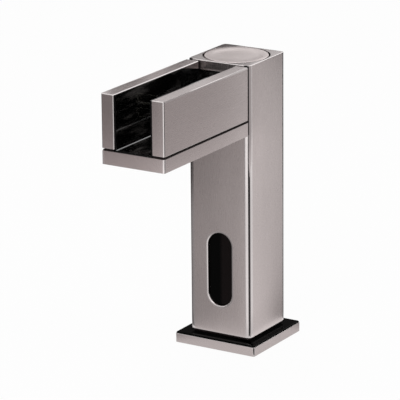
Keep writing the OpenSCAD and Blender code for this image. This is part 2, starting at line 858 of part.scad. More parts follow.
module spout_mount_screws() {
    color(steel) at_wall_screws()
        cap_screw(wall_screw_r, wall_screw_l, wall_head_r, wall_head_h, wall_hex_af);
}

module button_cap() {
    color(nickel) difference() {
        union() {
            rotate_extrude() polygon(concat(
                [[0, button_z0], [button_r, button_z0], [button_r, col_top]],
                [for (k = [dish_steps : -1 : 0])
                    let (x = dish_r * k / dish_steps) [x, col_top + dish_height(x)]]));
            rod(0, 0, stem_r, stem_z0, button_z0 + button_t / 4);
        }
        difference() {
            rod(0, 0, stem_r + over, clip_z1 - clip_t, clip_z1);
            rod(0, 0, clip_groove_r, clip_z1 - clip_t - over, clip_z1 + over);
        }
    }
}

module button_clip() {
    clip_bore = clip_groove_r + thread_fit;
    color(steel) difference() {
        rod(0, 0, clip_r, clip_z1 - clip_t + thread_fit, clip_z1 - thread_fit);
        rod(0, 0, clip_bore, clip_z1 - clip_t - over, clip_z1 + over);
        span_box([-clip_mouth, 0, clip_z1 - clip_t - over], [clip_mouth, clip_r + over, clip_z1 + over]);
    }
}

module button_magnet() {
    color(steel) rod(0, 0, magnet_r, stem_z0 - magnet_t, stem_z0);
}

module button_spring() {
    color(steel) coil_spring(0, 0, button_spring_r, button_wire_r, button_curls,
        guide_pocket_z + thread_fit, button_z0 - thread_fit, "button_spring");
}

module button_guide() {
    color(brass) difference() {
        union() {
            rod(0, 0, guide_flange_r, guide_seat, guide_top);
            rod(0, 0, guide_r, guide_z0, guide_seat + guide_flange_t / 2);
        }
        rod(0, 0, guide_pocket_r, guide_pocket_z, guide_top + over);
        rod(0, 0, stem_r + run_fit, guide_z0 - over, guide_pocket_z + over);
    }
}

module guide_gasket() {
    color(rubber) difference() {
        rod(0, 0, guide_flange_r, head_top, guide_seat);
        rod(0, 0, guide_r + fit, head_top - over, guide_seat + over);
    }
}

module guide_nut() {
    color(brass) difference() {
        hex_bar(0, 0, guide_nut_af, nut_top - guide_nut_t, nut_top);
        rod(0, 0, guide_r + thread_fit, nut_top - guide_nut_t - over, nut_top + over);
    }
}

module switch_bracket() {
    strap_end = strap_y + bracket_t;
    shelf_z = switch_z0 - bracket_t;
    color(steel) difference() {
        union() {
            rod(0, 0, guide_nut_af / 2, nut_top, bracket_top);
            span_box([-strap_half, 0, nut_top], [strap_half, strap_end, bracket_top]);
            span_box([-strap_half, strap_y, shelf_z], [strap_half, strap_end, bracket_top]);
            span_box([-strap_half, -switch_half, shelf_z], [strap_half, strap_end, switch_z0]);
        }
        rod(0, 0, guide_r + fit, nut_top - over, bracket_top + over);
    }
}

module magnetic_switch() {
    color(rubber) bar(2 * switch_half, 2 * switch_half, edge_r, switch_z0, switch_top);
}

module switch_lead_wire() {
    color(rubber) swept_tube(smooth(switch_lead, 2), lead_r, lead_sides);
}

module inlet_strainer() {
    color(steel) difference() {
        rod(0, port_y, strainer_r, port_h, port_h + strainer_t);
        rod(0, port_y, strainer_hole_r, port_h - over, port_h + strainer_t + over);
        for (k = [0 : strainer_holes - 1])
            rod(strainer_pitch_r * cos(360 * k / strainer_holes),
                port_y + strainer_pitch_r * sin(360 * k / strainer_holes),
                strainer_hole_r, port_h - over, port_h + strainer_t + over);
    }
}

module check_valve_poppet() {
    disc_z = check_z + poppet_gap;
    color(ivory) {
        rod(0, port_y, poppet_r, disc_z, disc_z + poppet_t);
        rod(0, port_y, poppet_stem_r, disc_z + poppet_t / 2, poppet_stem_top);
    }
}

module check_valve_spring() {
    color(steel) coil_spring(0, port_y, check_spring_r, check_wire_r, check_curls,
        cage_z - check_spring_h + thread_fit, cage_z - thread_fit, "check_valve_spring");
}

module check_valve_cage() {
    color(ivory) difference() {
        rod(0, port_y, cage_r, cage_z, cage_z + cage_t);
        rod(0, port_y, poppet_stem_r + run_fit, cage_z - over, cage_z + cage_t + over);
        for (k = [0 : cage_holes - 1])
            rod(cage_pitch_r * cos(360 * k / cage_holes),
                port_y + cage_pitch_r * sin(360 * k / cage_holes),
                cage_hole_r, cage_z - over, cage_z + cage_t + over);
    }
}

module inlet_adaptor() {
    color(brass) difference() {
        union() {
            rod(0, port_y, cage_r, cage_z + cage_t, boss_top + over);
            hex_bar(0, port_y, adaptor_af, boss_top, adaptor_top);
        }
        rod(0, port_y, adaptor_bore_r, cage_z, adaptor_top + over);
        rod(0, port_y, inlet_tube_r + thread_fit, boss_top + adaptor_floor, adaptor_top + over);
        rod(0, port_y, inlet_gland_r, adaptor_top - inlet_gland_h, adaptor_top + over);
    }
}

module inlet_tube() {
    z0 = boss_top + adaptor_floor + tube_end_gap;
    z1 = valve_z + inlet_socket_l - tube_end_gap;
    color(copper) difference() {
        rod(0, port_y, inlet_tube_r, z0, z1);
        rod(0, port_y, inlet_tube_r - inlet_tube_wall, z0 - over, z1 + over);
    }
}

module inlet_tube_seals() {
    centre_r = inlet_tube_r + ring_gland;
    color(rubber) {
        rubber_ring(0, port_y, adaptor_top - inlet_gland_h / 2, centre_r, ring_r);
        rubber_ring(0, port_y, valve_z + inlet_gland_h / 2, centre_r, ring_r);
    }
}

module valve_body() {
    annulus_z = valve_top - annulus_h;
    outlet_floor = valve_top - outlet_socket_l;
    color(ivory) difference() {
        span_box([-valve_half, valve_front, valve_z], [valve_half, valve_rear, valve_top]);
        rod(0, port_y, inlet_tube_r + thread_fit, valve_z - over, valve_z + inlet_socket_l);
        rod(0, port_y, inlet_gland_r, valve_z - over, valve_z + inlet_gland_h);
        rod(0, port_y, feed_r, valve_z, annulus_z + over);
        difference() {
            rod(0, valve_y, chamber_r, annulus_z, valve_top + over);
            rod(0, valve_y, main_seat_r + main_seat_w, annulus_z - over, valve_top + 2 * over);
        }
        rod(0, valve_y, main_seat_r, passage_floor, valve_top + over);
        translate([0, valve_y, cross_z]) rotate([90, 0, 0]) cylinder(r = cross_r, h = valve_y + outlet_y);
        rod(0, -outlet_y, outlet_bore_r, passage_floor, valve_top);
        rod(0, -outlet_y, outlet_tube_r + thread_fit, outlet_floor, valve_top + over);
        rod(0, -outlet_y, outlet_gland_r, valve_top - outlet_gland_h, valve_top + over);
        at_valve_screws() cylinder(r = valve_screw_r + thread_fit, h = valve_screw_l + over);
    }
}

module valve_diaphragm() {
    color(rubber) difference() {
        rod(0, valve_y, diaphragm_r, valve_top, valve_top + diaphragm_t);
        rod(0, valve_y, pilot_r, valve_top - over, valve_top + diaphragm_t + over);
    }
}

module diaphragm_insert() {
    z0 = valve_top + diaphragm_t;
    color(ivory) difference() {
        rod(0, valve_y, insert_r, z0, z0 + insert_t);
        rod(0, valve_y, pilot_r, z0 - over, z0 + insert_t + over);
    }
}

module valve_bonnet() {
    chamber_z = valve_top + diaphragm_t;
    color(steel) difference() {
        union() {
            span_box([-bonnet_half, valve_y - bonnet_half, valve_top],
                [bonnet_half, valve_y + bonnet_half, bonnet_top]);
            rod(0, valve_y, core_tube_r, bonnet_top - over, core_top);
        }
        rod(0, valve_y, diaphragm_r + thread_fit, valve_top - over, chamber_z);
        rod(0, valve_y, chamber_r, valve_top - over, chamber_z + chamber_h);
        rod(0, valve_y, core_r, chamber_z, core_end);
        at_valve_screws() translate([0, 0, -over])
            cylinder(r = valve_screw_r + thread_fit, h = valve_screw_l + 2 * over);
    }
}

module plunger() {
    z1 = plunger_z0 + plunger_l;
    color(steel) difference() {
        rod(0, valve_y, plunger_r, plunger_z0, z1);
        rod(0, valve_y, plunger_pocket_r, z1 - plunger_pocket_h, z1 + over);
    }
}

module plunger_spring() {
    color(steel) coil_spring(0, valve_y, plunger_spring_r, plunger_wire_r, plunger_curls,
        plunger_z0 + plunger_l - plunger_pocket_h + thread_fit, core_end - thread_fit, "plunger_spring");
}

module coil_bobbin() {
    bore_r = core_tube_r + fit;
    hub_r = bore_r + bobbin_wall;
    terminal_y = valve_y + coil_r - winding_inset + thread_fit;
    color(rubber) difference() {
        union() {
            rod(0, valve_y, hub_r, coil_z, coil_top);
            rod(0, valve_y, coil_r, coil_z, coil_z + bobbin_flange);
            rod(0, valve_y, coil_r, coil_top - bobbin_flange, coil_top);
            span_box([-terminal_w / 2, terminal_y, coil_z],
                [terminal_w / 2, valve_y + coil_r + terminal_d, coil_z + terminal_rise + terminal_h]);
            span_box([-terminal_w / 2, valve_y + hub_r, coil_z],
                [terminal_w / 2, valve_y + coil_r + terminal_d, coil_z + bobbin_flange]);
        }
        rod(0, valve_y, bore_r, coil_z - over, coil_top + over);
    }
}

module solenoid_coil() {
    inner_r = core_tube_r + fit + bobbin_wall;
    outer_r = coil_r - winding_inset;
    color(copper) difference() {
        rod(0, valve_y, outer_r, coil_z + bobbin_flange, coil_top - bobbin_flange);
        rod(0, valve_y, inner_r, coil_z, coil_top);
    }
}

module coil_yoke() {
    inner = yoke_half - yoke_t;
    color(steel) difference() {
        span_box([-yoke_half, valve_y - yoke_depth, bonnet_top],
            [yoke_half, valve_y + yoke_depth, coil_top + yoke_t]);
        span_box([-inner, valve_y - yoke_depth - over, coil_z],
            [inner, valve_y + yoke_depth + over, coil_top]);
        rod(0, valve_y, core_tube_r + fit, bonnet_top - over, coil_top + yoke_t + over);
    }
}

module coil_nut() {
    z0 = coil_top + yoke_t;
    color(brass) difference() {
        hex_bar(0, valve_y, coil_nut_af, z0, z0 + coil_nut_t);
        rod(0, valve_y, core_tube_r + thread_fit, z0 - over, z0 + coil_nut_t + over);
    }
}

module valve_screws() {
    color(steel) at_valve_screws()
        cap_screw(valve_screw_r, valve_screw_l, valve_head_r, valve_head_h, valve_hex_af);
}

module coil_lead_wire() {
    color(rubber) swept_tube(smooth(coil_lead, 2), lead_r, lead_sides);
}

module outlet_tube() {
    z0 = valve_top - outlet_socket_l + tube_end_gap;
    z1 = manifold_z0 + outlet_socket_l - tube_end_gap;
    color(copper) difference() {
        rod(0, -outlet_y, outlet_tube_r, z0, z1);
        rod(0, -outlet_y, outlet_bore_r, z0 - over, z1 + over);
    }
}

module outlet_tube_seals() {
    centre_r = outlet_tube_r + small_gland;
    color(rubber) {
        rubber_ring(0, -outlet_y, valve_top - outlet_gland_h / 2, centre_r, small_ring_r);
        rubber_ring(0, -outlet_y, manifold_z0 + outlet_gland_h / 2, centre_r, small_ring_r);
    }
}

module spout_manifold() {
    mouth_half = nozzle_half - nozzle_wall;
    mouth_z0 = nozzle_z0 + nozzle_wall;
    mouth_z1 = nozzle_z0 + nozzle_h - nozzle_wall;
    color(ivory) difference() {
        union() {
            span_box([-manifold_boss_half, manifold_front, manifold_z0],
                [manifold_boss_half, manifold_rear, manifold_top]);
            span_box([-manifold_lug_half, manifold_front, manifold_z0],
                [manifold_lug_half, manifold_front + manifold_lug_t, manifold_top]);
            span_box([-manifold_lug_half, manifold_front, nozzle_z0 - nozzle_wall],
                [manifold_lug_half, manifold_rear, manifold_top]);
            span_box([-nozzle_half, nozzle_front, nozzle_z0],
                [nozzle_half, manifold_front + over, nozzle_z0 + nozzle_h]);
        }
        span_box([-mouth_half, nozzle_front - over, mouth_z0],
            [mouth_half, manifold_rear - nozzle_wall, mouth_z1]);
        rod(0, -outlet_y, outlet_bore_r, manifold_z0, mouth_z0 + over);
        rod(0, -outlet_y, outlet_tube_r + thread_fit, manifold_z0 - over, manifold_z0 + outlet_socket_l);
        rod(0, -outlet_y, outlet_gland_r, manifold_z0 - over, manifold_z0 + outlet_gland_h);
        at_manifold_screws() translate([0, 0, -over])
            cylinder(r = wall_screw_r + thread_fit, h = manifold_lug_t + 2 * over);
    }
}

module manifold_screws() {
    color(steel) at_manifold_screws()
        cap_screw(wall_screw_r, manifold_screw_l, wall_head_r, wall_head_h, wall_hex_af);
}

module flow_screen() {
    half = nozzle_half - nozzle_wall - thread_fit;
    z0 = nozzle_z0 + nozzle_wall + thread_fit;
    z1 = nozzle_z0 + nozzle_h - nozzle_wall - thread_fit;
    y0 = nozzle_front + screen_recess;
    pitch = (2 * half - screen_bar_w) / screen_bars;
    color(gloss_black) difference() {
        span_box([-half, y0, z0], [half, y0 + screen_t, z1]);
        for (k = [0 : screen_bars - 1])
            translate([-half + screen_bar_w + k * pitch, y0 - over, z0 + screen_bar_w])
                cube([pitch - screen_bar_w, screen_t + 2 * over, z1 - z0 - 2 * screen_bar_w]);
    }
}

module sensor_window() {
    color(gloss_black) {
        oblong(window_w - 2 * window_fit, window_h - 2 * window_fit,
            lens_front, lens_flange_front + lens_flange_t / 2);
        oblong(window_w + 2 * lens_flange_w, window_h + 2 * lens_flange_w,
            lens_flange_front, lens_flange_front + lens_flange_t);
    }
}

module window_gasket() {
    color(rubber) difference() {
        oblong(window_w + 2 * window_gasket_w, window_h + 2 * window_gasket_w,
            wall_inner_y, lens_flange_front);
        oblong(window_w + window_fit, window_h + window_fit,
            wall_inner_y - over, lens_flange_front + over);
    }
}

module sensor_housing() {
    inner = housing_half - housing_wall;
    ear_y0 = wall_inner_y + fit;
    ledge_y = board_front + board_t;
    color(rubber) difference() {
        union() {
            difference() {
                span_box([-housing_half, housing_front, housing_z0],
                    [housing_half, housing_back, housing_top]);
                span_box([-inner, housing_front - over, housing_z0 + housing_wall],
                    [inner, housing_back + over, housing_top - housing_wall]);
            }
            for (z = [housing_z0 + housing_wall, housing_top - housing_wall - ledge_h])
                span_box([-inner, ledge_y, z], [inner, ledge_y + ledge_t, z + ledge_h]);
            span_box([-housing_half, ear_y0, housing_top],
                [housing_half, ear_y0 + ear_t, housing_top + ear_h]);
            span_box([-housing_half, housing_front, housing_top - housing_wall],
                [housing_half, ear_y0 + ear_t, housing_top + ear_h / 3]);
        }
        at_sensor_screws() translate([0, 0, -over])
            cylinder(r = ear_screw_r + thread_fit, h = ear_t + 2 * over);
    }
}

module sensor_board() {
    half = housing_half - housing_wall - board_margin;
    color(circuit_green) span_box(
        [-half, board_front, housing_z0 + housing_wall + board_margin],
        [half, board_front + board_t, housing_top - housing_wall - board_margin]);
}

// Domed infrared eye on the board's front at height z
module infrared_eye(z) {
    tip = housing_front + stop_gap;
    translate([0, board_front, z]) rotate([90, 0, 0]) cylinder(r = eye_r, h = board_front - tip - eye_r);
    translate([0, tip + eye_r, z]) rotate([90, 0, 0]) intersection() {
        sphere(r = eye_r);
        cylinder(r = eye_r + over, h = eye_r + over);
    }
}

module ir_emitter() {
    color(steel) infrared_eye(window_z + eye_half);
}

module ir_receiver() {
    color(gloss_black) infrared_eye(window_z - eye_half);
}

module sensor_cover() {
    color(rubber) span_box([-housing_half, housing_back, housing_z0],
        [housing_half, housing_back + sensor_cover_t, housing_top]);
}

module sensor_screws() {
    color(steel) at_sensor_screws()
        cap_screw(ear_screw_r, ear_screw_l, ear_head_r, ear_head_h, ear_hex_af);
}

module supply_connector() {
    y0 = housing_back + sensor_cover_t;
    x1 = connector_w - cable_x;
    color(ivory) difference() {
        span_box([-cable_x, y0, connector_z], [x1, y0 + connector_d, connector_z + connector_h]);
        span_box([connector_wall - cable_x, y0 + connector_wall, connector_z - over],
            [x1 - connector_wall, y0 + connector_d - connector_wall, connector_z + connector_pocket_h]);
    }
}

module cable_grommet() {
    color(rubber) difference() {
        union() {
            rod(-cable_x, 0, grommet_r, 0, foot_top + grommet_lip_t / 2);
            rod(-cable_x, 0, grommet_r + grommet_lip, foot_top, foot_top + grommet_lip_t);
        }
        rod(-cable_x, 0, cable_r, -over, foot_top + grommet_lip_t + over);
    }
}

column_body();
foot_block();
deck_plate();
deck_plate_cover();
foot_gasket();
base_seal();
column_grub_screws();
spout_left_wall();
spout_right_wall();
spout_floor();
wall_gaskets();
trough_liner();
spout_gasket();
spout_floor_screws();
spout_mount_screws();
button_cap();
button_clip();
button_magnet();
button_spring();
button_guide();
guide_gasket();
guide_nut();
switch_bracket();
magnetic_switch();
switch_lead_wire();
inlet_strainer();
check_valve_poppet();
check_valve_spring();
check_valve_cage();
inlet_adaptor();
inlet_tube();
inlet_tube_seals();
valve_body();
valve_diaphragm();
diaphragm_insert();
valve_bonnet();
plunger();
plunger_spring();
coil_bobbin();
solenoid_coil();
coil_yoke();
coil_nut();
valve_screws();
coil_lead_wire();
outlet_tube();
outlet_tube_seals();
spout_manifold();
manifold_screws();
flow_screen();
sensor_window();
window_gasket();
sensor_housing();
sensor_board();
ir_emitter();
ir_receiver();
sensor_cover();
sensor_screws();
supply_connector();
cable_grommet();
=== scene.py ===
"""Deck-mounted sensor tap: brushed nickel column, open waterfall spout, black sensor window."""
import json
import math

import bpy
from mathutils import Matrix, Vector


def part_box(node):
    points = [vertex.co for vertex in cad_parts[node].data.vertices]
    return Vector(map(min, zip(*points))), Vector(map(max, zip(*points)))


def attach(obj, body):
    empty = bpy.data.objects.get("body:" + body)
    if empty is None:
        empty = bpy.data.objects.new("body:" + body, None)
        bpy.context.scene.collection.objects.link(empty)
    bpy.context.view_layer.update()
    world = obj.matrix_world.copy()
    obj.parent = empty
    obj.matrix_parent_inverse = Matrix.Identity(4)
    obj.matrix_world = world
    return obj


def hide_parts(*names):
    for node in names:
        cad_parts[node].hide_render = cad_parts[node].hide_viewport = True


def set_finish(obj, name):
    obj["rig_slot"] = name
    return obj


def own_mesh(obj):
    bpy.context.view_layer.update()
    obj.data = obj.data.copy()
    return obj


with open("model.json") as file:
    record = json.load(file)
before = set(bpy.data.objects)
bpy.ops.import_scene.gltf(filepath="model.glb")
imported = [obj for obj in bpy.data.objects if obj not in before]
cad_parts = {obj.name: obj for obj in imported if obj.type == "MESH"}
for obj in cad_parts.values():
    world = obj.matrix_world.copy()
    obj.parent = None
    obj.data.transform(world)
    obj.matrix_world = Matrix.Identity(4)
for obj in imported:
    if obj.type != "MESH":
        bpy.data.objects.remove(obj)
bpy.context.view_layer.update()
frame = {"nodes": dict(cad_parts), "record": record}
node_slots = {row["node"]: row["material_slot"] for row in frame["record"]["subparts"]}

# The unit, the overrun of cutters and picked zones, a close clearance, and the slack of straight and
# of round edges
mm = 0.001
over = 1 * mm
snug = 0.05 * mm
touching = 0.02 * mm
round_slack = 0.1 * mm
fold_cosine = 0.94
flat_cosine = 0.9995

# Column
column_low, column_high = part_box("column_body")
column_half = column_high.x
column_wall = 3 * mm
cavity_half = column_half - column_wall
head_floor_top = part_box("guide_gasket")[0].z
head_floor_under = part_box("switch_bracket")[1].z
head_pocket_radius = 21.5 * mm
guide_hole_radius = 6.6 * mm
column_crown = 3.7 * mm
crown_sag = 0.56 * mm
column_corner = 1.15 * mm
top_edge = 0.6 * mm
foot_edge = 0.25 * mm
fine_edge = 0.2 * mm
grub_zone_top = 20 * mm
grub_zone_half = 18 * mm
grub_edge = 0.25 * mm
grub_socket_share = 0.58

# Sensor window
lens_low, lens_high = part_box("sensor_window")
window_width = 16.8 * mm
window_height = 48.4 * mm
window_centre = 52 * mm
window_edge = 1.8 * mm
window_sag = 0.36 * mm
window_lip = 0.3 * mm
lens_gap = 0.1 * mm
lens_flange_thickness = 1.4 * mm

# Spout
left_low, left_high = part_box("spout_left_wall")
right_low, right_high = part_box("spout_right_wall")
floor_low, floor_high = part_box("spout_floor")
liner_low, liner_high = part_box("trough_liner")
nozzle_low, nozzle_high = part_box("flow_screen")
nozzle_margin = 1.15 * mm
wall_crown = 1.7 * mm
wall_sag = 0.17 * mm
wall_edge = 0.65 * mm
front_crown = 0.95 * mm
front_sag = 0.22 * mm
front_corner = 0.45 * mm
top_crown = 1.0 * mm
top_sag = 0.13 * mm
top_corner = 0.4 * mm
floor_edge = 0.5 * mm
seam_gap = 1.0 * mm
seam_lift = 0.6 * mm
wall_lower_edge = 0.5 * mm
floor_top_edge = 0.15 * mm
liner_thickness = 0.9 * mm
liner_back_thickness = 1.4 * mm
liner_back_top = 183.3 * mm
liner_slope = 20 * mm
liner_fillet = 0.6 * mm
pocket_depth = 4 * mm
pocket_rim = 6 * mm
pocket_end = 15 * mm
screw_radius = 1.5 * mm
screw_head_radius = 3 * mm
screw_head_height = 1.7 * mm
screw_tip_edge = 0.3 * mm
screw_gap = 0.1 * mm
sink_flare = 0.76 * mm
recess_arm = 0.42 * mm
recess_reach = 1.6 * mm
recess_depth = 1.1 * mm
screen_bar = 0.6 * mm
screen_edge = 0.12 * mm
screen_slots = 9
wall_seal_edge = 0.15 * mm

# Push button
button_thickness = 3 * mm
button_edge = 0.35 * mm
button_rim = 2.75 * mm
dish_lip = 0.3 * mm
dish_depth = 0.8 * mm
dish_power = 7
dish_rings = 12
stem_radius = 3 * mm
stem_top_depth = 2 * mm

# Deck plate
plate_low, plate_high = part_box("deck_plate")
cover_low, cover_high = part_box("deck_plate_cover")
spigot_hole_radius = 17.1 * mm
plate_corner = 1.1 * mm
plate_edge = 0.35 * mm
cover_edge = 0.85 * mm
seal_width = 3 * mm
seal_lip = 0.4 * mm

# Coil springs inside the tap
spring_wires = {"button_spring": 0.4 * mm, "plunger_spring": 0.22 * mm, "check_valve_spring": 0.25 * mm}
spring_curls = {"button_spring": 5, "plunger_spring": 7, "check_valve_spring": 5}
wire_sides = 8
curl_steps = 20

# Camera, solved from the photograph's corners
view_azimuth = 31.7
view_elevation = 16.69
view_roll = -0.54
view_distance = 1.8219
view_aim = Vector((-0.00968, -0.030, 0.09917))
focal_pixels = 2865.66
image_pixels = 400
sensor_width = 36

# The floor's place and its share of even glow
floor_size = 12
floor_drop = 0.02 * mm
floor_glow = 0.95

# The floor's tone in reflections: round the column's front corner, close to the foot, and how the
# first gives way to the second with the distance from the axis, as places from 0 to 1 and tones
floor_round = ((0, 0.05), (0.09, 0.05), (0.14, 0.26), (0.16, 0.35), (0.168, 0.37), (0.18, 0.8),
               (0.19, 1.85), (0.275, 1.85), (0.30, 0.02), (0.54, 0.02), (0.575, 1.0), (0.62, 1.54),
               (0.678, 1.43), (0.694, 0.03), (1, 0.05))
floor_share = ((0, 1), (0.09, 1), (0.16, 0.54), (0.3, 0.47), (0.5, 0.48), (0.66, 0.47), (0.84, 0))
floor_foot = ((0, 1), (0.09, 1), (0.14, 0))
floor_lit = ((0, 0.05), (0.045, 0.05), (0.07, 1), (0.29, 1), (0.305, 0.15), (0.54, 0.15), (0.575, 1),
             (0.705, 1), (0.74, 0.05), (1, 0.05))
floor_near = ((0, 0.88), (0.09, 0.88), (0.13, 0.76), (0.35, 0.76), (0.6, 0.84))
floor_reach = 0.5
floor_fall_start = 0.10
floor_fall_end = 0.50
floor_fall_tone = 0.74

# The studio's cards: their tones along their length and up their height, as places from 0 to 1
spout_front_along = ((0, 0.29), (0.5, 0.29), (0.6, 0.33), (0.72, 0.36), (0.765, 0.42), (0.82, 0.65),
                     (0.88, 0.95), (0.92, 1.35), (1, 1.5))
spout_front_upward = ((0, 2.1), (0.15, 2.0), (0.27, 1), (0.5, 0.92), (1, 0.85))
spout_side_along = ((0, 0.5), (0.7, 0.55), (0.84, 0.8), (1, 1.1))
spout_side_upward = ((0, 1.42), (0.08, 1.37), (0.16, 1), (1, 0.95))
left_flag_along = ((0, 0.15), (0.12, 0.15), (0.17, 0.42), (0.21, 0.42), (0.26, 0.15), (1, 0.15))
foot_card_height = cover_high.z + 0.05 * mm
foot_card_gap = 0.3 * mm
lamp_aim = Vector((0, -0.03, 0.1))


# Selecting and shaping
def deselect():
    if bpy.context.object and bpy.context.object.mode == "EDIT":
        bpy.ops.object.mode_set(mode="OBJECT")
    bpy.ops.object.select_all(action="DESELECT")


def choose(piece):
    deselect()
    piece.select_set(True)
    bpy.context.view_layer.objects.active = piece


def settle(piece, name):
    """Names a piece and puts its place into its mesh."""
    piece.name = name
    piece.data.name = name
    choose(piece)
    bpy.ops.object.transform_apply(location=True, rotation=True, scale=True)
    return piece


def near(a, b):
    return abs(a - b) < touching


def upright(direction):
    return abs(direction.z) > 0.9


def block(name, low, high):
    deselect()
    low, high = Vector(low), Vector(high)
    bpy.ops.mesh.primitive_cube_add(size=1, location=(low + high) / 2, scale=high - low)
    return settle(bpy.context.object, name)


def rod(name, centre, radius, bottom, top, sides=96, tip_radius=None):
    """Upright round bar, or a cone where it has a tip radius."""
    deselect()
    place = (centre[0], centre[1], (bottom + top) / 2)
    bpy.ops.mesh.primitive_cone_add(
        vertices=sides, radius1=radius, radius2=radius if tip_radius is None else tip_radius,
        depth=top - bottom, location=place)
    return settle(bpy.context.object, name)


def level_rod(name, x, z, radius, front, back, sides=48):
    """Round bar along Y."""
    deselect()
    bpy.ops.mesh.primitive_cylinder_add(
        vertices=sides, radius=radius, depth=back - front,
        location=(x, (front + back) / 2, z), rotation=(math.radians(90), 0, 0))
    return settle(bpy.context.object, name)


def mark_vertices(piece, wanted):
    choose(piece)
    bpy.context.tool_settings.mesh_select_mode = (True, False, False)
    mesh = piece.data
    for group in (mesh.edges, mesh.polygons):
        for part in group:
            part.select = False
    for vertex in mesh.vertices:
        vertex.select = wanted(vertex.co)


def mark_edges(piece, wanted):
    """Selects the wanted ones of the edges at which two faces fold."""
    choose(piece)
    bpy.context.tool_settings.mesh_select_mode = (False, True, False)
    mesh = piece.data
    for group in (mesh.vertices, mesh.polygons):
        for part in group:
            part.select = False
    sides = {}
    for face in mesh.polygons:
        for key in face.edge_keys:
            sides.setdefault(key, []).append(face.normal)
    for edge in mesh.edges:
        start, end = (mesh.vertices[i].co for i in edge.vertices)
        normals = sides.get(tuple(sorted(edge.vertices)), [])
        folded = len(normals) == 2 and normals[0].dot(normals[1]) < fold_cosine
        edge.select = folded and wanted((start + end) / 2, (end - start).normalized())


def mark_faces(piece, wanted):
    choose(piece)
    bpy.context.tool_settings.mesh_select_mode = (False, False, True)
    mesh = piece.data
    for group in (mesh.vertices, mesh.edges):
        for part in group:
            part.select = False
    for face in mesh.polygons:
        face.select = wanted(face.center, face.normal)


def move_chosen(piece, step, wanted):
    mark_vertices(piece, wanted)
    bpy.ops.object.mode_set(mode="EDIT")
    bpy.ops.transform.translate(value=step)
    bpy.ops.object.mode_set(mode="OBJECT")


def oblong(name, width, height, front, back):
    """Upright round-ended bar along Y at the window's place: a round bar pulled apart at its middle."""
    piece = level_rod(name, 0, window_centre, width / 2, front, back, 96)
    stretch = (height - width) / 2
    move_chosen(piece, (0, 0, stretch), lambda place: place.z > window_centre)
    move_chosen(piece, (0, 0, -stretch), lambda place: place.z < window_centre)
    return piece


def round_edges(piece, width, wanted, segments=4, profile=0.5):
    mark_edges(piece, wanted)
    bpy.ops.object.mode_set(mode="EDIT")
    bpy.ops.mesh.bevel(offset=width, segments=segments, profile=profile, affect="EDGES")
    bpy.ops.object.mode_set(mode="OBJECT")


def crown(piece, width, sag, wanted):
    """Lets flat faces fall off a little towards their shared edges, by `sag` over `width`."""
    power = -math.log(2) / math.log(1 - sag / width)
    round_edges(piece, width, wanted, 2, 2 ** (-2 / power))


def soften(piece, width, sag, radius, wanted, segments=4):
    """Crowns edges of a plain block, then rounds their ridges tightly."""
    crown(piece, width, sag, wanted)
    low = Vector([min(v.co[k] for v in piece.data.vertices) for k in range(3)])
    high = Vector([max(v.co[k] for v in piece.data.vertices) for k in range(3)])

    def ridge(middle, way):
        inset = [min(middle[k] - low[k], high[k] - middle[k]) for k in range(3)]
        return sum(abs(step - sag) < sag * 0.2 for step in inset) >= 2

    round_edges(piece, radius, ridge, segments)


def cut(piece, *cutters):
    for cutter in cutters:
        choose(piece)
        tool = piece.modifiers.new("cut", "BOOLEAN")
        tool.operation = "DIFFERENCE"
        tool.solver = "EXACT"
        tool.object = cutter
        bpy.ops.object.modifier_apply(modifier=tool.name)
        bpy.data.objects.remove(cutter)


def dress(piece, material, nodes, body="tap", sharp=32, edge=None, edged=None):
    """Gives a finished piece its shading, finishes and body, and hides the nodes that it stands for.

    The edge finish goes on the faces that lean, or on those that `edged` picks."""
    choose(piece)
    bpy.ops.object.shade_smooth_by_angle(angle=math.radians(sharp))
    shading = piece.modifiers.new("flat faces", "WEIGHTED_NORMAL")
    shading.keep_sharp = True
    bpy.ops.object.modifier_apply(modifier=shading.name)
    piece.data.materials.clear()
    piece.data.materials.append(material)
    if edge:
        piece.data.materials.append(edge)
        for face in piece.data.polygons:
            leans = max(abs(c) for c in face.normal) < flat_cosine
            face.material_index = int(edged(face.center, face.normal) if edged else leans)
    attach(piece, body)
    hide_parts(*nodes)
    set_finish(piece, node_slots[nodes[0]])
    return piece


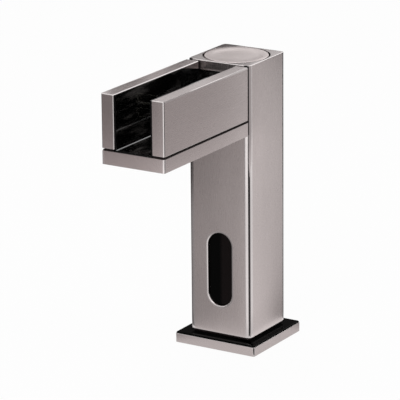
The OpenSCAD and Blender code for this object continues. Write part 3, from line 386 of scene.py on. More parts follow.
# Materials
class Finish:
    """A procedural material under construction."""

    def __init__(self, name, colour, metallic=0.0, roughness=0.5, **sockets):
        self.material = bpy.data.materials.new(name)
        self.material.use_nodes = True
        self.nodes = self.material.node_tree.nodes
        self.links = self.material.node_tree.links
        self.shader = self.nodes["Principled BSDF"]
        self.colour = (*colour, 1)
        self.shader.inputs["Base Color"].default_value = self.colour
        self.shader.inputs["Metallic"].default_value = metallic
        self.shader.inputs["Roughness"].default_value = roughness
        for socket, value in sockets.items():
            self.shader.inputs[socket.replace("_", " ")].default_value = value
        self.place = self.nodes.new("ShaderNodeTexCoord").outputs["Object"]
        self.bump_input = None

    def noise(self, scale, detail=3, stretch=(1, 1, 1)):
        mapping = self.nodes.new("ShaderNodeMapping")
        mapping.inputs["Scale"].default_value = stretch
        self.links.new(self.place, mapping.inputs["Vector"])
        texture = self.nodes.new("ShaderNodeTexNoise")
        texture.inputs["Scale"].default_value = scale
        texture.inputs["Detail"].default_value = detail
        self.links.new(mapping.outputs["Vector"], texture.inputs["Vector"])
        return texture.outputs["Fac"]

    def spread(self, value, low, high, start=0.3, end=0.7):
        """Maps a noise's middle range to a range of values."""
        node = self.nodes.new("ShaderNodeMapRange")
        node.inputs["From Min"].default_value = start
        node.inputs["From Max"].default_value = end
        node.inputs["To Min"].default_value = low
        node.inputs["To Max"].default_value = high
        self.links.new(value, node.inputs["Value"])
        return node.outputs["Result"]

    def mix(self, value, first, second):
        node = self.nodes.new("ShaderNodeMix")
        node.data_type = "RGBA"
        for socket, colour in (("A", first), ("B", second)):
            target = [i for i in node.inputs if i.name == socket and i.type == "RGBA"][0]
            if hasattr(colour, "is_output"):
                self.links.new(colour, target)
            else:
                target.default_value = (*colour[:3], 1)
        self.links.new(value, node.inputs[0])
        return [o for o in node.outputs if o.type == "RGBA"][0]

    def vary_colour(self, value, amount):
        """Lets the colour run a little darker and lighter with a noise."""
        dark = [c * (1 - amount) for c in self.colour[:3]]
        light = [min(1, c * (1 + amount)) for c in self.colour[:3]]
        self.links.new(self.mix(value, dark, light), self.shader.inputs["Base Color"])

    def vary_roughness(self, value, low, high):
        self.links.new(self.spread(value, low, high), self.shader.inputs["Roughness"])

    def bump(self, value, depth, strength=1.0):
        node = self.nodes.new("ShaderNodeBump")
        node.inputs["Strength"].default_value = strength
        node.inputs["Distance"].default_value = depth
        self.links.new(value, node.inputs["Height"])
        if self.bump_input:
            self.links.new(self.bump_input, node.inputs["Normal"])
        self.bump_input = node.outputs["Normal"]
        self.links.new(self.bump_input, self.shader.inputs["Normal"])


nickel_colour = (0.505, 0.449, 0.441)


def brushed_nickel(name, along):
    """Satin nickel whose grain runs along one axis: 0, 1 or 2."""
    finish = Finish(name, nickel_colour, metallic=1.0, roughness=0.3)
    stretch = [1, 1, 1]
    stretch[along] = 0.02
    grain = finish.noise(5200, 2, stretch)
    stretch[along] = 0.18
    cloud = finish.noise(70, 3, stretch)
    finish.vary_colour(cloud, 0.06)
    finish.vary_roughness(grain, 0.25, 0.33)
    finish.bump(grain, 0.004 * mm, 0.35)
    return finish.material


def fine_nickel():
    """The column's top, brushed finer than its sides."""
    finish = Finish("fine_nickel", nickel_colour, metallic=1.0, roughness=0.18)
    grain = finish.noise(3800, 2, (0.02, 1, 1))
    finish.vary_colour(finish.noise(70, 2), 0.04)
    finish.vary_roughness(grain, 0.14, 0.22)
    finish.bump(grain, 0.003 * mm, 0.3)
    return finish.material


def turned_nickel_painted_light():
    """Face of the push button, turned duller than the brushed faces, with a lighter colour that paints the
    bright light on the upturned disc.
    """
    # The colour lighter than nickel_colour is painted light on the upturned face.
    finish = Finish("turned_nickel_painted_light", (0.68, 0.61, 0.597), metallic=1.0, roughness=0.36)
    grain = finish.noise(2600, 2)
    finish.vary_colour(finish.noise(42, 2), 0.04)
    finish.vary_roughness(grain, 0.32, 0.42)
    return finish.material


def polished_nickel_painted_highlight():
    """Nickel edges, rubbed smoother than the brushed faces, with a lighter colour that paints brighter
    highlight lines on them.
    """
    # The colour lighter than nickel_colour is painted highlight on the edges.
    finish = Finish("polished_nickel_painted_highlight", (0.56, 0.52, 0.515), metallic=1.0, roughness=0.12)
    finish.vary_colour(finish.noise(60, 2), 0.04)
    finish.vary_roughness(finish.noise(700, 3), 0.10, 0.18)
    return finish.material


def gloss_black():
    finish = Finish("gloss_black", (0.003, 0.003, 0.003), roughness=0.06, IOR=1.08)
    smudge = finish.noise(55, 4)
    finish.vary_roughness(smudge, 0.04, 0.16)
    return finish.material


def liner_black():
    """Gloss black of the trough, with the grey streaks that water leaves."""
    finish = Finish("liner_black", (0.004, 0.004, 0.004), roughness=0.06, IOR=2.6)
    smudge = finish.noise(60, 4)
    finish.vary_roughness(smudge, 0.015, 0.06)
    streak = finish.spread(finish.noise(150, 5, (1, 0.25, 1)), 0, 1, 0.52, 0.72)
    tint = finish.mix(streak, (0.002, 0.002, 0.002), (0.085, 0.078, 0.075))
    finish.links.new(tint, finish.shader.inputs["Base Color"])
    return finish.material


def edge_black():
    """Cut edge of the black liner, duller than its faces."""
    finish = Finish("liner_edge", (0.003, 0.003, 0.003), roughness=0.45, IOR=1.2)
    finish.vary_roughness(finish.noise(900, 3), 0.4, 0.5)
    return finish.material


def seam_painted_shade():
    """Near-black painted shade for the column's front behind the spout, where the seam falls in shadow."""
    finish = Finish("seam_painted_shade", (0.004, 0.004, 0.004), roughness=0.8, IOR=1.2)
    finish.vary_roughness(finish.noise(1500, 3), 0.7, 0.85)
    return finish.material


def black_rubber():
    finish = Finish("black_rubber", (0.012, 0.007, 0.007), roughness=0.7, IOR=1.25)
    grain = finish.noise(2500, 3)
    finish.vary_roughness(grain, 0.6, 0.8)
    finish.bump(grain, 0.01 * mm)
    return finish.material


def dark_lens():
    """Black infrared window, a little lighter in its right half, where a reflection is painted."""
    finish = Finish("dark_lens", (0.003, 0.002, 0.002), roughness=0.05, IOR=1.12)
    across = finish.nodes.new("ShaderNodeSeparateXYZ")
    finish.links.new(finish.place, across.inputs[0])
    blur = 1.2 * mm
    # Painted reflection: the lens colour turns lighter right of its middle.
    painted_reflection_half = finish.spread(across.outputs["X"], 0, 1, -blur, blur)
    tint = finish.mix(painted_reflection_half, (0.001, 0.001, 0.001), (0.008, 0.0058, 0.0058))
    finish.links.new(tint, finish.shader.inputs["Base Color"])
    finish.vary_roughness(finish.noise(70, 3), 0.03, 0.1)
    return finish.material


def machined(name, colour, low, high):
    """Turned or drawn metal with a fine machining grain."""
    finish = Finish(name, colour, metallic=1.0, roughness=0.3)
    grain = finish.noise(3000, 2, (1, 1, 6))
    cloud = finish.noise(120, 3)
    finish.vary_colour(cloud, 0.08)
    finish.vary_roughness(grain, low, high)
    finish.bump(grain, 0.004 * mm)
    return finish.material


def moulded(name, colour, low, high):
    """Moulded plastic with a fine spark-eroded grain."""
    finish = Finish(name, colour, roughness=0.5)
    grain = finish.noise(2200, 3)
    finish.vary_colour(finish.noise(90, 2), 0.04)
    finish.vary_roughness(grain, low, high)
    finish.bump(grain, 0.006 * mm)
    return finish.material


# Edge finish for the bevels and crowns: smoother nickel with a painted highlight in its lighter colour.
nickel_edge_painted_highlight = polished_nickel_painted_highlight()
nickel_upright = brushed_nickel("brushed_nickel_upright", 2)
nickel_level = brushed_nickel("brushed_nickel_level", 1)
nickel_cross = brushed_nickel("brushed_nickel_cross", 0)
slot_materials = {
    "brushed_nickel": nickel_upright,
    "gloss_black": gloss_black(),
    "black_rubber": black_rubber(),
    "brass": machined("machined_brass", (0.72, 0.50, 0.22), 0.2, 0.36),
    "stainless": machined("turned_stainless", (0.60, 0.60, 0.61), 0.22, 0.38),
    "copper": machined("bare_copper", (0.78, 0.36, 0.2), 0.22, 0.4),
    "ivory_plastic": moulded("ivory_plastic", (0.72, 0.70, 0.60), 0.35, 0.5),
    "black_plastic": moulded("black_plastic", (0.02, 0.02, 0.022), 0.4, 0.6),
    "circuit_board": moulded("circuit_board", (0.01, 0.13, 0.05), 0.3, 0.45),
    "dark_lens": dark_lens(),
}
trough_black = liner_black()


# Pieces
def column():
    """Square tube with its head's pocket, window and grub holes, with near-black painted shade on its
    front behind the spout.
    """
    piece = block("column", column_low, column_high)
    soften(piece, column_crown, crown_sag, column_corner, lambda middle, way: upright(way), 5)
    cut(piece,
        block("cavity", (-cavity_half, -cavity_half, column_low.z - over),
              (cavity_half, cavity_half, head_floor_under)),
        rod("pocket", (0, 0), head_pocket_radius, head_floor_top, column_high.z + over, 160),
        rod("guide_hole", (0, 0), guide_hole_radius, head_floor_under - over, head_floor_top + over, 64),
        oblong("window_hole", window_width, window_height, -column_half - over, over - cavity_half),
        block("nozzle_hole",
              (nozzle_low.x - nozzle_margin, -column_half - over, nozzle_low.z - nozzle_margin),
              (nozzle_high.x + nozzle_margin, over - cavity_half, nozzle_high.z + nozzle_margin)))
    grub_low, grub_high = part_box("column_grub_screws")
    grub_radius = (grub_high.z - grub_low.z) / 2
    for x in (grub_low.x + grub_radius, grub_high.x - grub_radius):
        hole = level_rod("grub_hole", x, (grub_low.z + grub_high.z) / 2, grub_radius + snug,
                         cavity_half - over, column_half + over)
        cut(piece, hole)

    def from_pocket(middle):
        return abs(math.hypot(middle.x, middle.y) - head_pocket_radius)

    round_edges(piece, top_edge, lambda middle, way: near(middle.z, column_high.z)
                and from_pocket(middle) >= touching)
    round_edges(piece, fine_edge, lambda middle, way: near(middle.z, column_high.z)
                and from_pocket(middle) < round_slack, 2)
    round_edges(piece, foot_edge, lambda middle, way: near(middle.z, column_low.z)
                and max(abs(middle.x), abs(middle.y)) > column_half - over)

    def window_rim(depth):
        return lambda middle, way: (abs(middle.y + column_half - depth) < snug
                                    and abs(middle.z - window_centre) < window_height / 2 + over
                                    and abs(middle.x) < window_width / 2 + over)

    crown(piece, window_edge, window_sag, window_rim(0))
    round_edges(piece, window_lip, window_rim(window_sag), 3)
    round_edges(piece, fine_edge, lambda middle, way: near(middle.y, column_half)
                and middle.z < grub_zone_top and abs(middle.x) < grub_zone_half
                and not near(middle.z, column_low.z), 2)
    choose(piece)
    bpy.ops.object.mode_set(mode="EDIT")
    bpy.ops.mesh.select_all(action="SELECT")
    bpy.ops.mesh.bisect(plane_co=(0, 0, floor_low.z), plane_no=(0, 0, 1))
    bpy.ops.object.mode_set(mode="OBJECT")
    dress(piece, nickel_upright, ["column_body"], edge=nickel_edge_painted_highlight)
    # The column's front faces behind the spout get near-black painted shade, standing for the shadow in
    # the seam.
    seam_shade_finish, top_finish = 2, 3
    piece.data.materials.append(seam_painted_shade())
    piece.data.materials.append(fine_nickel())
    for face in piece.data.polygons:
        if face.normal.z > 0.999 and near(face.center.z, column_high.z):
            face.material_index = top_finish
        behind = face.center.z > floor_low.z and face.center.y < over - column_half
        if behind and abs(face.center.x) > cavity_half and face.normal.y < -0.5:
            face.material_index = seam_shade_finish
    return piece


def grub_screws():
    """Two grub screws with a hexagon socket in the column's rear."""
    low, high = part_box("column_grub_screws")
    radius = (high.z - low.z) / 2
    height = (low.z + high.z) / 2
    screw = level_rod("grub_screws", low.x + radius, height, radius, low.y, high.y, 48)
    round_edges(screw, grub_edge, lambda middle, way: abs(way.y) < 0.5, 3)
    cut(screw, level_rod("socket", low.x + radius, height, grub_socket_share * radius,
                         high.y - radius, high.y + over, 6))
    choose(screw)
    bpy.ops.object.duplicate()
    bpy.ops.transform.translate(value=(high.x - low.x - 2 * radius, 0, 0))
    twin = bpy.context.object
    choose(screw)
    twin.select_set(True)
    bpy.ops.object.join()
    settle(screw, "grub_screws")
    return dress(screw, slot_materials["stainless"], ["column_grub_screws"])


def deck_plate():
    piece = block("plate", plate_low, plate_high)
    round_edges(piece, plate_corner, lambda middle, way: upright(way), 5)
    cut(piece, rod("spigot_hole", (0, 0), spigot_hole_radius, -over, plate_high.z + over, 96))
    seal_low, seal_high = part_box("base_seal")
    groove = rod("groove", (0, 0), seal_high.x + snug, -over, seal_high.z, 96)
    cut(groove, rod("groove_core", (0, 0), seal_high.x - seal_width, -2 * over, seal_high.z + over, 96))
    cut(piece, groove)
    round_edges(piece, plate_edge, lambda middle, way: not upright(way)
                and max(abs(middle.x), abs(middle.y)) > plate_high.x - over)
    return dress(piece, nickel_cross, ["deck_plate"], edge=nickel_edge_painted_highlight)


def plate_cover():
    piece = block("plate_top", cover_low, cover_high)
    round_edges(piece, 1.2 * plate_corner, lambda middle, way: upright(way), 5)
    cut(piece, rod("spigot_hole", (0, 0), spigot_hole_radius, cover_low.z - over, cover_high.z + over, 96))
    round_edges(piece, cover_edge, lambda middle, way: near(middle.z, cover_high.z)
                and max(abs(middle.x), abs(middle.y)) > cover_high.x - over, 4)
    return dress(piece, slot_materials["gloss_black"], ["deck_plate_cover"])


def foot_gasket():
    low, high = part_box("foot_gasket")
    piece = block("column_gasket", low, high)
    round_edges(piece, plate_corner, lambda middle, way: upright(way), 4)
    cut(piece, rod("spigot_hole", (0, 0), spigot_hole_radius, low.z - over, high.z + over, 96))
    round_edges(piece, fine_edge, lambda middle, way: not upright(way)
                and max(abs(middle.x), abs(middle.y)) > high.x - over, 2)
    return dress(piece, slot_materials["black_rubber"], ["foot_gasket"])


def base_ring():
    """Round rubber ring in the plate's underside with a soft lip."""
    low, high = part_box("base_seal")
    piece = rod("base_ring", (0, 0), high.x, low.z, high.z, 128)
    cut(piece, rod("ring_hole", (0, 0), high.x - seal_width, low.z - over, high.z + over, 128))
    round_edges(piece, seal_lip, lambda middle, way: abs(way.z) < 0.3, 4)
    return dress(piece, slot_materials["black_rubber"], ["base_seal"])


def side_wall(name, node, side):
    """Wall bar on one side, 1 right or -1 left, with crowned outer faces and a pocket in its inner one."""
    low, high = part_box(node)
    back_y = high.y - seam_gap
    low = Vector((low.x, low.y, low.z + seam_lift))
    piece = block(name, low, (high.x, back_y, high.z))
    inner, outer = (low.x, high.x) if side > 0 else (high.x, low.x)
    soften(piece, front_crown, front_sag, front_corner, lambda middle, way: near(middle.x, outer)
           and near(middle.y, low.y))
    soften(piece, top_crown, top_sag, top_corner, lambda middle, way: near(middle.x, outer)
           and near(middle.z, high.z))

    def plain(middle, way):
        inward = abs(middle.x) < (abs(outer) + abs(inner)) / 2
        return (not near(middle.y, back_y) and not near(middle.z, low.z)
                and (abs(way.y) < 0.5 or inward))

    round_edges(piece, wall_edge, plain, 6, 0.45)
    round_edges(piece, fine_edge, lambda middle, way: near(middle.y, back_y), 2)
    round_edges(piece, wall_lower_edge, lambda middle, way: near(middle.z, low.z)
                and not near(middle.y, back_y) and abs(way.z) < 0.3, 3)
    pocket_far = inner + side * pocket_depth
    pocket_near = inner - side * over
    cut(piece, block("hollow",
                     (min(pocket_far, pocket_near), low.y + pocket_end, low.z + pocket_rim),
                     (max(pocket_far, pocket_near), high.y - pocket_end, high.z - pocket_rim)))
    return dress(piece, nickel_level, [node], edge=nickel_edge_painted_highlight)


def wall_seals():
    """Flat seals under the two side walls with soft long edges."""
    low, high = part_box("wall_gaskets")
    inset = right_high.x - high.x
    pieces = []
    for inner, outer in ((right_low.x + inset, high.x), (low.x, left_high.x - inset)):
        seal = block("wall_seal", (inner, low.y, low.z), (outer, high.y, high.z))
        round_edges(seal, wall_seal_edge, lambda middle, way: not upright(way), 2)
        pieces.append(seal)
    choose(pieces[0])
    pieces[1].select_set(True)
    bpy.ops.object.join()
    settle(pieces[0], "wall_seals")
    return dress(pieces[0], slot_materials["black_rubber"], ["wall_gaskets"])


def spout_floor():
    """Floor bar of the spout, countersunk from below for its four screws."""
    back_y = floor_high.y - seam_gap
    piece = block("floor_bar", floor_low, (floor_high.x, back_y, floor_high.z))
    soften(piece, wall_crown, wall_sag, floor_edge, lambda middle, way: upright(way)
           and not near(middle.y, back_y))
    round_edges(piece, fine_edge, lambda middle, way: not near(middle.y, back_y)
                and near(middle.z, floor_low.z), 3)
    round_edges(piece, floor_top_edge, lambda middle, way: not near(middle.y, back_y)
                and near(middle.z, floor_high.z), 2)
    screw_low, screw_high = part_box("spout_floor_screws")
    shank_radius = screw_radius + screw_gap
    sink_radius = screw_head_radius + screw_gap + sink_flare
    for x in (screw_low.x + screw_head_radius, screw_high.x - screw_head_radius):
        for y in (screw_low.y + screw_head_radius, screw_high.y - screw_head_radius):
            cut(piece,
                rod("shank_hole", (x, y), shank_radius, floor_low.z - over, floor_high.z + over, 48),
                rod("sink", (x, y), sink_radius, floor_low.z - over, floor_low.z + screw_head_height, 64,
                    shank_radius))
    return dress(piece, nickel_level, ["spout_floor"], edge=nickel_edge_painted_highlight)


def floor_screws():
    """Four countersunk screws with a cross recess: one modelled, three copied."""
    low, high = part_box("spout_floor_screws")
    near_x, near_y = low.x + screw_head_radius, low.y + screw_head_radius
    screw = rod("floor_screws", (near_x, near_y), screw_head_radius, low.z, low.z + screw_head_height, 64,
                screw_radius)
    for wide, deep in ((recess_arm, recess_reach), (recess_reach, recess_arm)):
        cut(screw, block("recess", (near_x - wide, near_y - deep, low.z - over),
                         (near_x + wide, near_y + deep, low.z + recess_depth)))
    shank = rod("shank", (near_x, near_y), screw_radius, low.z + screw_head_height - screw_gap, high.z, 40)
    round_edges(shank, screw_tip_edge, lambda middle, way: near(middle.z, high.z), 2)
    choose(screw)
    shank.select_set(True)
    bpy.ops.object.join()
    step_x = high.x - low.x - 2 * screw_head_radius
    step_y = high.y - low.y - 2 * screw_head_radius
    copies = []
    for step in ((step_x, 0, 0), (0, step_y, 0), (step_x, step_y, 0)):
        choose(screw)
        bpy.ops.object.duplicate()
        bpy.ops.transform.translate(value=step)
        copies.append(bpy.context.object)
    choose(screw)
    for piece in copies:
        piece.select_set(True)
    bpy.ops.object.join()
    settle(screw, "floor_screws")
    return dress(screw, slot_materials["stainless"], ["spout_floor_screws"])


def slope_cutter(back_y):
    """Wedge that takes the liner's top down to the back plate's height at its back end."""
    far = liner_high.x + over
    piece = block("slope", (-far, back_y - liner_slope, liner_back_top),
                  (far, back_y + over, liner_high.z + over))
    move_chosen(piece, (0, 0, liner_high.z - liner_back_top),
                lambda place: near(place.z, liner_back_top) and place.y < back_y - over)
    return piece


def trough_liner():
    """U-shaped liner, its top sloped down at the back to a low back plate with the nozzle's mouth."""
    piece = block("trough", liner_low, liner_high)
    inner_x = liner_high.x - liner_thickness
    floor_z = liner_low.z + liner_thickness
    back_y = liner_high.y - liner_back_thickness
    cut(piece,
        block("channel", (-inner_x, liner_low.y - over, floor_z), (inner_x, back_y, liner_high.z + over)),
        block("notch", (-liner_high.x - over, back_y - over, liner_back_top),
              (liner_high.x + over, liner_high.y + over, liner_high.z + over)),
        slope_cutter(back_y),
        block("mouth",
              (nozzle_low.x - nozzle_margin, back_y - over, nozzle_low.z - nozzle_margin),
              (nozzle_high.x + nozzle_margin, liner_high.y + over, nozzle_high.z + nozzle_margin)))
    round_edges(piece, liner_fillet, lambda middle, way: near(abs(middle.x), inner_x)
                and near(middle.z, floor_z), 4)
    return dress(piece, trough_black, ["trough_liner"], edge=edge_black(),
                 edged=lambda middle, normal: normal.y < -0.9 and middle.y < liner_low.y + over)


def screen():
    """Slotted screen in the mouth at the trough's back."""
    low, high = nozzle_low, nozzle_high
    piece = block("screen", low, high)
    pitch = (high.x - low.x - screen_bar) / screen_slots
    for k in range(screen_slots):
        start = low.x + screen_bar + k * pitch
        cut(piece, block("slot", (start, low.y - over, low.z + screen_bar),
                         (start + pitch - screen_bar, high.y + over, high.z - screen_bar)))
    round_edges(piece, screen_edge, lambda middle, way: near(middle.y, low.y), 2)
    return dress(piece, slot_materials["gloss_black"], ["flow_screen"])


def push_button():
    """Turned disc: each ring of the dish is an inset of the top face, sunk to the dish's curve."""
    low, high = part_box("button_cap")
    radius = high.x
    dish_radius = radius - button_rim
    piece = rod("button", (0, 0), radius, high.z - button_thickness, high.z, 128)

    def sunk(x):
        return dish_depth * ((x / dish_radius) ** dish_power - 1)

    mark_faces(piece, lambda middle, normal: normal.z > 0.9)
    bpy.ops.object.mode_set(mode="EDIT")
    bpy.ops.mesh.inset(thickness=button_rim, depth=0)
    step = dish_radius / (dish_rings + 0.5)
    at = dish_radius
    for ring in range(dish_rings):
        drop = sunk(at - step) - sunk(at)
        bpy.ops.mesh.inset(thickness=step, depth=drop)
        at -= step
    bpy.ops.object.mode_set(mode="OBJECT")
    round_edges(piece, button_edge, lambda middle, way: near(middle.z, high.z)
                and math.hypot(middle.x, middle.y) > radius - round_slack, 3)
    round_edges(piece, dish_lip, lambda middle, way: near(middle.z, high.z)
                and abs(math.hypot(middle.x, middle.y) - dish_radius) < round_slack, 2)
    stem = rod("button_stem", (0, 0), stem_radius, low.z, high.z - stem_top_depth, 48)
    choose(piece)
    stem.select_set(True)
    bpy.ops.object.join()
    return dress(piece, turned_nickel_painted_light(), ["button_cap"], "push_button", 28)


def window_lens():
    """Lens in the window with the flange that holds it from inside."""
    face = oblong("window", window_width - 2 * lens_gap, window_height - 2 * lens_gap,
                  lens_low.y, lens_high.y - lens_flange_thickness)
    round_edges(face, fine_edge, lambda middle, way: near(middle.y, lens_low.y), 3)
    flange_width = lens_high.x * 2
    flange = oblong("lens_flange", flange_width, lens_high.z - lens_low.z,
                    lens_high.y - lens_flange_thickness, lens_high.y)
    choose(face)
    flange.select_set(True)
    bpy.ops.object.join()
    return dress(face, slot_materials["dark_lens"], ["sensor_window"])


def coil_spring(name, node):
    """A spring of round wire, spun from the wire's ring."""
    low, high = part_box(node)
    wire = spring_wires[node]
    curls = spring_curls[node]
    centre_x, centre_y = (low.x + high.x) / 2, (low.y + high.y) / 2
    ring = (high.x - low.x) / 2 - wire
    deselect()
    bpy.ops.mesh.primitive_circle_add(vertices=wire_sides, radius=wire, location=(ring, 0, 0),
                                      rotation=(math.radians(90), 0, 0))
    piece = settle(bpy.context.object, name)
    coil = piece.modifiers.new("curls", "SCREW")
    coil.angle = math.radians(360)
    coil.iterations = curls
    coil.steps = coil.render_steps = curl_steps
    coil.screw_offset = (high.z - low.z - 2 * wire) / curls
    bpy.ops.object.modifier_apply(modifier=coil.name)
    bpy.ops.object.mode_set(mode="EDIT")
    bpy.ops.mesh.select_all(action="SELECT")
    bpy.ops.mesh.fill_holes(sides=wire_sides)
    bpy.ops.mesh.select_all(action="SELECT")
    bpy.ops.mesh.normals_make_consistent(inside=False)
    bpy.ops.object.mode_set(mode="OBJECT")
    piece.location = (centre_x, centre_y, low.z + wire)
    settle(piece, name)
    dress(piece, slot_materials["stainless"], [node])
    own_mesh(piece)
    return piece


# Studio
def warm(tone):
    """Grey of the studio: its dark parts are slightly warm."""
    cool = tone * (0.91 + 0.09 * min(1, tone))
    return (tone, cool, cool, 1)


def even(tone):
    return (0, tone), (1, tone)


def tone_ramp(nodes, links, value, stops):
    """Turns a value from 0 to 1 into a grey tone through named stops."""
    ramp = nodes.new("ShaderNodeValToRGB")
    steps = ramp.color_ramp.elements
    while len(steps) > 1:
        steps.remove(steps[0])
    steps[0].position, steps[0].color = stops[0][0], warm(stops[0][1])
    for place, tone in stops[1:]:
        steps.new(place).color = warm(tone)
    links.new(value, ramp.inputs["Fac"])
    return ramp.outputs["Color"]


def product(nodes, links, first, second):
    node = nodes.new("ShaderNodeMath")
    node.operation = "MULTIPLY"
    for socket, value in zip(node.inputs, (first, second)):
        if hasattr(value, "is_output"):
            links.new(value, socket)
        else:
            socket.default_value = value
    return node.outputs[0]


def floor_reflection(nodes, links):
    """The floor's tone and strength in reflections, from the values above."""
    place = nodes.new("ShaderNodeTexCoord").outputs["Object"]
    shift = nodes.new("ShaderNodeVectorMath")
    shift.operation = "SUBTRACT"
    shift.inputs[1].default_value = (column_half, -column_half, 0)
    links.new(place, shift.inputs[0])
    turn = nodes.new("ShaderNodeTexGradient")
    turn.gradient_type = "RADIAL"
    links.new(shift.outputs["Vector"], turn.inputs["Vector"])
    round_tone = tone_ramp(nodes, links, turn.outputs["Fac"], floor_round)
    length = nodes.new("ShaderNodeVectorMath")
    length.operation = "LENGTH"
    links.new(place, length.inputs[0])
    reach = product(nodes, links, length.outputs["Value"], 1 / floor_reach)
    near_tone = tone_ramp(nodes, links, reach, floor_near)
    far = nodes.new("ShaderNodeMapRange")
    far.inputs["From Min"].default_value = floor_fall_start
    far.inputs["From Max"].default_value = floor_fall_end
    far.inputs["To Min"].default_value = 1
    far.inputs["To Max"].default_value = floor_fall_tone
    links.new(length.outputs["Value"], far.inputs["Value"])
    blend = nodes.new("ShaderNodeMix")
    blend.data_type = "RGBA"
    target = [i for i in blend.inputs if i.type == "RGBA"]
    links.new(round_tone, target[0])
    links.new(near_tone, target[1])
    lit = product(nodes, links, tone_ramp(nodes, links, reach, floor_share),
                  tone_ramp(nodes, links, turn.outputs["Fac"], floor_lit))
    share = nodes.new("ShaderNodeMath")
    share.operation = "MAXIMUM"
    links.new(tone_ramp(nodes, links, reach, floor_foot), share.inputs[0])
    links.new(lit, share.inputs[1])
    links.new(share.outputs[0], blend.inputs[0])
    return [o for o in blend.outputs if o.type == "RGBA"][0], far.outputs["Result"]


def pale_floor():
    """Floor that the camera sees glowing pale, with the tap's shadow, and metal sees in its own tones."""
    deselect()
    bpy.ops.mesh.primitive_plane_add(size=floor_size, location=(0, 0, -floor_drop))
    floor = bpy.context.object
    floor.name = "floor"
    floor_finish = bpy.data.materials.new("pale_floor")
    floor_finish.use_nodes = True
    nodes, links = floor_finish.node_tree.nodes, floor_finish.node_tree.links
    shader = nodes["Principled BSDF"]
    shader.inputs["Base Color"].default_value = (0.8, 0.8, 0.8, 1)
    shader.inputs["Roughness"].default_value = 0.9
    glow = nodes.new("ShaderNodeEmission")
    glow.inputs["Strength"].default_value = 1
    both = nodes.new("ShaderNodeMixShader")
    seen = nodes.new("ShaderNodeLightPath")
    share = product(nodes, links, seen.outputs["Is Camera Ray"], floor_glow)
    links.new(share, both.inputs["Fac"])
    links.new(shader.outputs[0], both.inputs[1])
    links.new(glow.outputs[0], both.inputs[2])
    mirrored = nodes.new("ShaderNodeEmission")
    tone, strength = floor_reflection(nodes, links)
    links.new(tone, mirrored.inputs["Color"])
    links.new(strength, mirrored.inputs["Strength"])
    whole = nodes.new("ShaderNodeMixShader")
    links.new(seen.outputs["Is Glossy Ray"], whole.inputs["Fac"])
    links.new(both.outputs[0], whole.inputs[1])
    links.new(mirrored.outputs[0], whole.inputs[2])
    links.new(whole.outputs[0], nodes["Material Output"].inputs["Surface"])
    floor.data.materials.append(floor_finish)


def surroundings():
    """White for the camera and in metal and glass, half as bright as a light on the tap."""
    world = bpy.data.worlds.new("studio")
    bpy.context.scene.world = world
    world.use_nodes = True
    nodes, links = world.node_tree.nodes, world.node_tree.links
    nodes.clear()
    path = nodes.new("ShaderNodeLightPath")
    white = nodes.new("ShaderNodeBackground")
    white.inputs["Strength"].default_value = 1
    white.inputs["Color"].default_value = (1, 1, 1, 1)
    soft = nodes.new("ShaderNodeBackground")
    soft.inputs["Color"].default_value = (0.5, 0.5, 0.5, 1)
    soft.inputs["Strength"].default_value = 1
    clear = nodes.new("ShaderNodeMath")
    clear.operation = "MAXIMUM"
    links.new(path.outputs["Is Camera Ray"], clear.inputs[0])
    links.new(path.outputs["Is Transmission Ray"], clear.inputs[1])
    seen = nodes.new("ShaderNodeMath")
    seen.operation = "MAXIMUM"
    links.new(clear.outputs[0], seen.inputs[0])
    links.new(path.outputs["Is Glossy Ray"], seen.inputs[1])
    mixed = nodes.new("ShaderNodeMixShader")
    links.new(seen.outputs[0], mixed.inputs["Fac"])
    links.new(soft.outputs[0], mixed.inputs[1])
    links.new(white.outputs[0], mixed.inputs[2])
    out = nodes.new("ShaderNodeOutputWorld")
    links.new(mixed.outputs[0], out.inputs["Surface"])


def lamp(name, place, size, power):
    deselect()
    place = Vector(place)
    turn = (place - lamp_aim).to_track_quat("Z", "Y").to_euler()
    bpy.ops.object.light_add(type="AREA", location=place, rotation=turn)
    light = bpy.context.object
    light.name = name
    light.data.shape = "RECTANGLE"
    light.data.size, light.data.size_y = size
    light.data.energy = power
    return light


def reflector(name, place, size, turn=(0, 0, 0)):
    """Flat panel that only reflections see. Gives its material's nodes and links."""
    deselect()
    bpy.ops.mesh.primitive_plane_add(size=1, location=place, rotation=turn)
    panel = bpy.context.object
    panel.scale = (*size, 1)
    panel.name = name
    surface = bpy.data.materials.new(name)
    surface.use_nodes = True
    nodes, links = surface.node_tree.nodes, surface.node_tree.links
    nodes.remove(nodes["Principled BSDF"])
    panel.data.materials.append(surface)
    for kind in ("camera", "diffuse", "transmission", "volume_scatter", "shadow"):
        setattr(panel, "visible_" + kind, False)
    return nodes, links


def card(name, start, end, low, high, along, upward=even(1), strength=1):
    """Upright panel between two floor points, with its own tones along it and up it."""
    start, end = Vector((*start, 0)), Vector((*end, 0))
    middle = (start + end) / 2
    turn = math.atan2(end.y - start.y, end.x - start.x)
    nodes, links = reflector(name, (middle.x, middle.y, (low + high) / 2),
                             ((end - start).length, high - low), (math.radians(90), 0, turn))
    place = nodes.new("ShaderNodeSeparateXYZ")
    links.new(nodes.new("ShaderNodeTexCoord").outputs["Generated"], place.inputs[0])
    glow = nodes.new("ShaderNodeEmission")
    links.new(tone_ramp(nodes, links, place.outputs["X"], along), glow.inputs["Color"])
    rise = tone_ramp(nodes, links, place.outputs["Y"], upward)
    links.new(product(nodes, links, rise, strength), glow.inputs["Strength"])
    links.new(glow.outputs[0], nodes["Material Output"].inputs["Surface"])


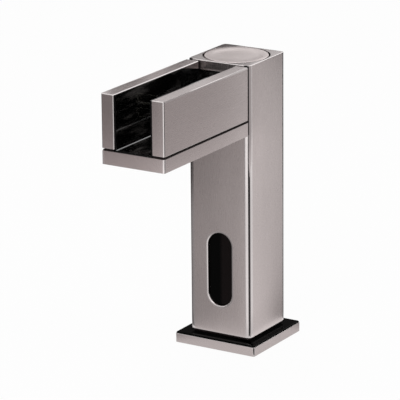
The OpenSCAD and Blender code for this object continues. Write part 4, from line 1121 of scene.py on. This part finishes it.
def strip(name, low, high, tone, turn=(0, 0, 0)):
    """Level panel of one tone that shows on one side only: on its upper side unless it is turned."""
    middle = (Vector(low) + Vector(high)) / 2
    nodes, links = reflector(name, middle, (high[0] - low[0], high[1] - low[1]), turn)
    glow = nodes.new("ShaderNodeEmission")
    glow.inputs["Color"].default_value = (tone, tone, tone, 1)
    clear = nodes.new("ShaderNodeBsdfTransparent")
    sided = nodes.new("ShaderNodeMixShader")
    links.new(nodes.new("ShaderNodeNewGeometry").outputs["Backfacing"], sided.inputs["Fac"])
    links.new(glow.outputs[0], sided.inputs[1])
    links.new(clear.outputs[0], sided.inputs[2])
    links.new(sided.outputs[0], nodes["Material Output"].inputs["Surface"])


def camera():
    """Camera of the photograph."""
    azimuth, elevation, roll = (math.radians(a) for a in (view_azimuth, view_elevation, view_roll))
    back = Vector((math.sin(azimuth) * math.cos(elevation), -math.cos(azimuth) * math.cos(elevation),
                   math.sin(elevation)))
    right = (-back).cross(Vector((0, 0, 1))).normalized()
    up = right.cross(-back)
    side = right * math.cos(roll) + up * math.sin(roll)
    top = up * math.cos(roll) - right * math.sin(roll)
    view = Matrix((side, top, back)).transposed().to_4x4()
    view.translation = view_aim + back * view_distance
    bpy.ops.object.camera_add()
    eye = bpy.context.object
    eye.name = "camera"
    eye.matrix_world = view
    eye.data.sensor_width = sensor_width
    eye.data.lens = focal_pixels / image_pixels * sensor_width
    eye.data.clip_start, eye.data.clip_end = 0.05, 30
    bpy.context.scene.camera = eye


# The scene
deselect()
camera()
pale_floor()
surroundings()
lamp("key", (0.2, -1.6, 1.1), (1.2, 0.9), 10)
lamp("top", (-0.5, 0.4, 1.8), (1.4, 1.4), 9)
lamp("side", (1.6, 0.5, 0.8), (0.9, 1.2), 5)
# Cards and dark flags round the tap, each seen only in its metal
card("spout_front_card", (-0.16, -0.20), (0.02, -0.20), 0.098, 0.24, spout_front_along, spout_front_upward)
card("spout_corner_card", (0.055, -0.205), (0.09, -0.158), 0.10, 0.19, even(1), strength=1.45)
card("spout_side_card", (0.09, -0.08), (0.09, 0.10), 0.098, 0.22, spout_side_along, spout_side_upward)
card("left_flag", (-0.075, -0.035), (-0.075, 0.26), 0, 0.231, left_flag_along)
card("left_glint", (-0.0745, 0.065), (-0.0745, 0.088), 0.208, 0.231, even(1), strength=0.55)
card("left_back_flag", (-0.0745, 0.1), (-0.0745, 0.145), 0.225, 0.237, even(0.12))
card("back_fence", (-0.75, 0.2), (-0.05, 0.75), 0, 0.30, even(0.1))
card("right_fence", (0.15, 0.75), (0.8, 0.35), 0.03, 0.33, even(0.05))
card("back_light", (-0.1, 0.95), (0.75, 0.75), 0.45, 1.1, even(1), strength=1.7)
strip("ceiling_flag", (-0.45, 0.12, 0.62), (-0.12, 0.42, 0.62), 0.2, (math.pi, 0, 0))
strip("foot_card_right", (column_half + foot_card_gap, -0.029, foot_card_height),
      (0.0294, 0.029, foot_card_height), 1.15)
strip("foot_card_front", (-0.029, -0.0294, foot_card_height),
      (0.029, -column_half - foot_card_gap, foot_card_height), 1.0)
strip("plate_corner_flag", (0.0312, -0.052, 0.0004), (0.056, -0.0285, 0.0004), 0.02)

for node, part in frame["nodes"].items():
    part.data.materials.clear()
    part.data.materials.append(slot_materials[node_slots[node]])
    part["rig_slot"] = node_slots[node]

column()
deck_plate()
plate_cover()
foot_gasket()
side_wall("left_wall", "spout_left_wall", -1)
side_wall("right_wall", "spout_right_wall", 1)
spout_floor()
trough_liner()
push_button()
window_lens()
floor_screws()
grub_screws()
screen()
wall_seals()
base_ring()
coil_spring("spring_under_button", "button_spring")
coil_spring("spring_in_plunger", "plunger_spring")
coil_spring("spring_on_check_disc", "check_valve_spring")

bpy.context.scene.view_settings.view_transform = "Standard"
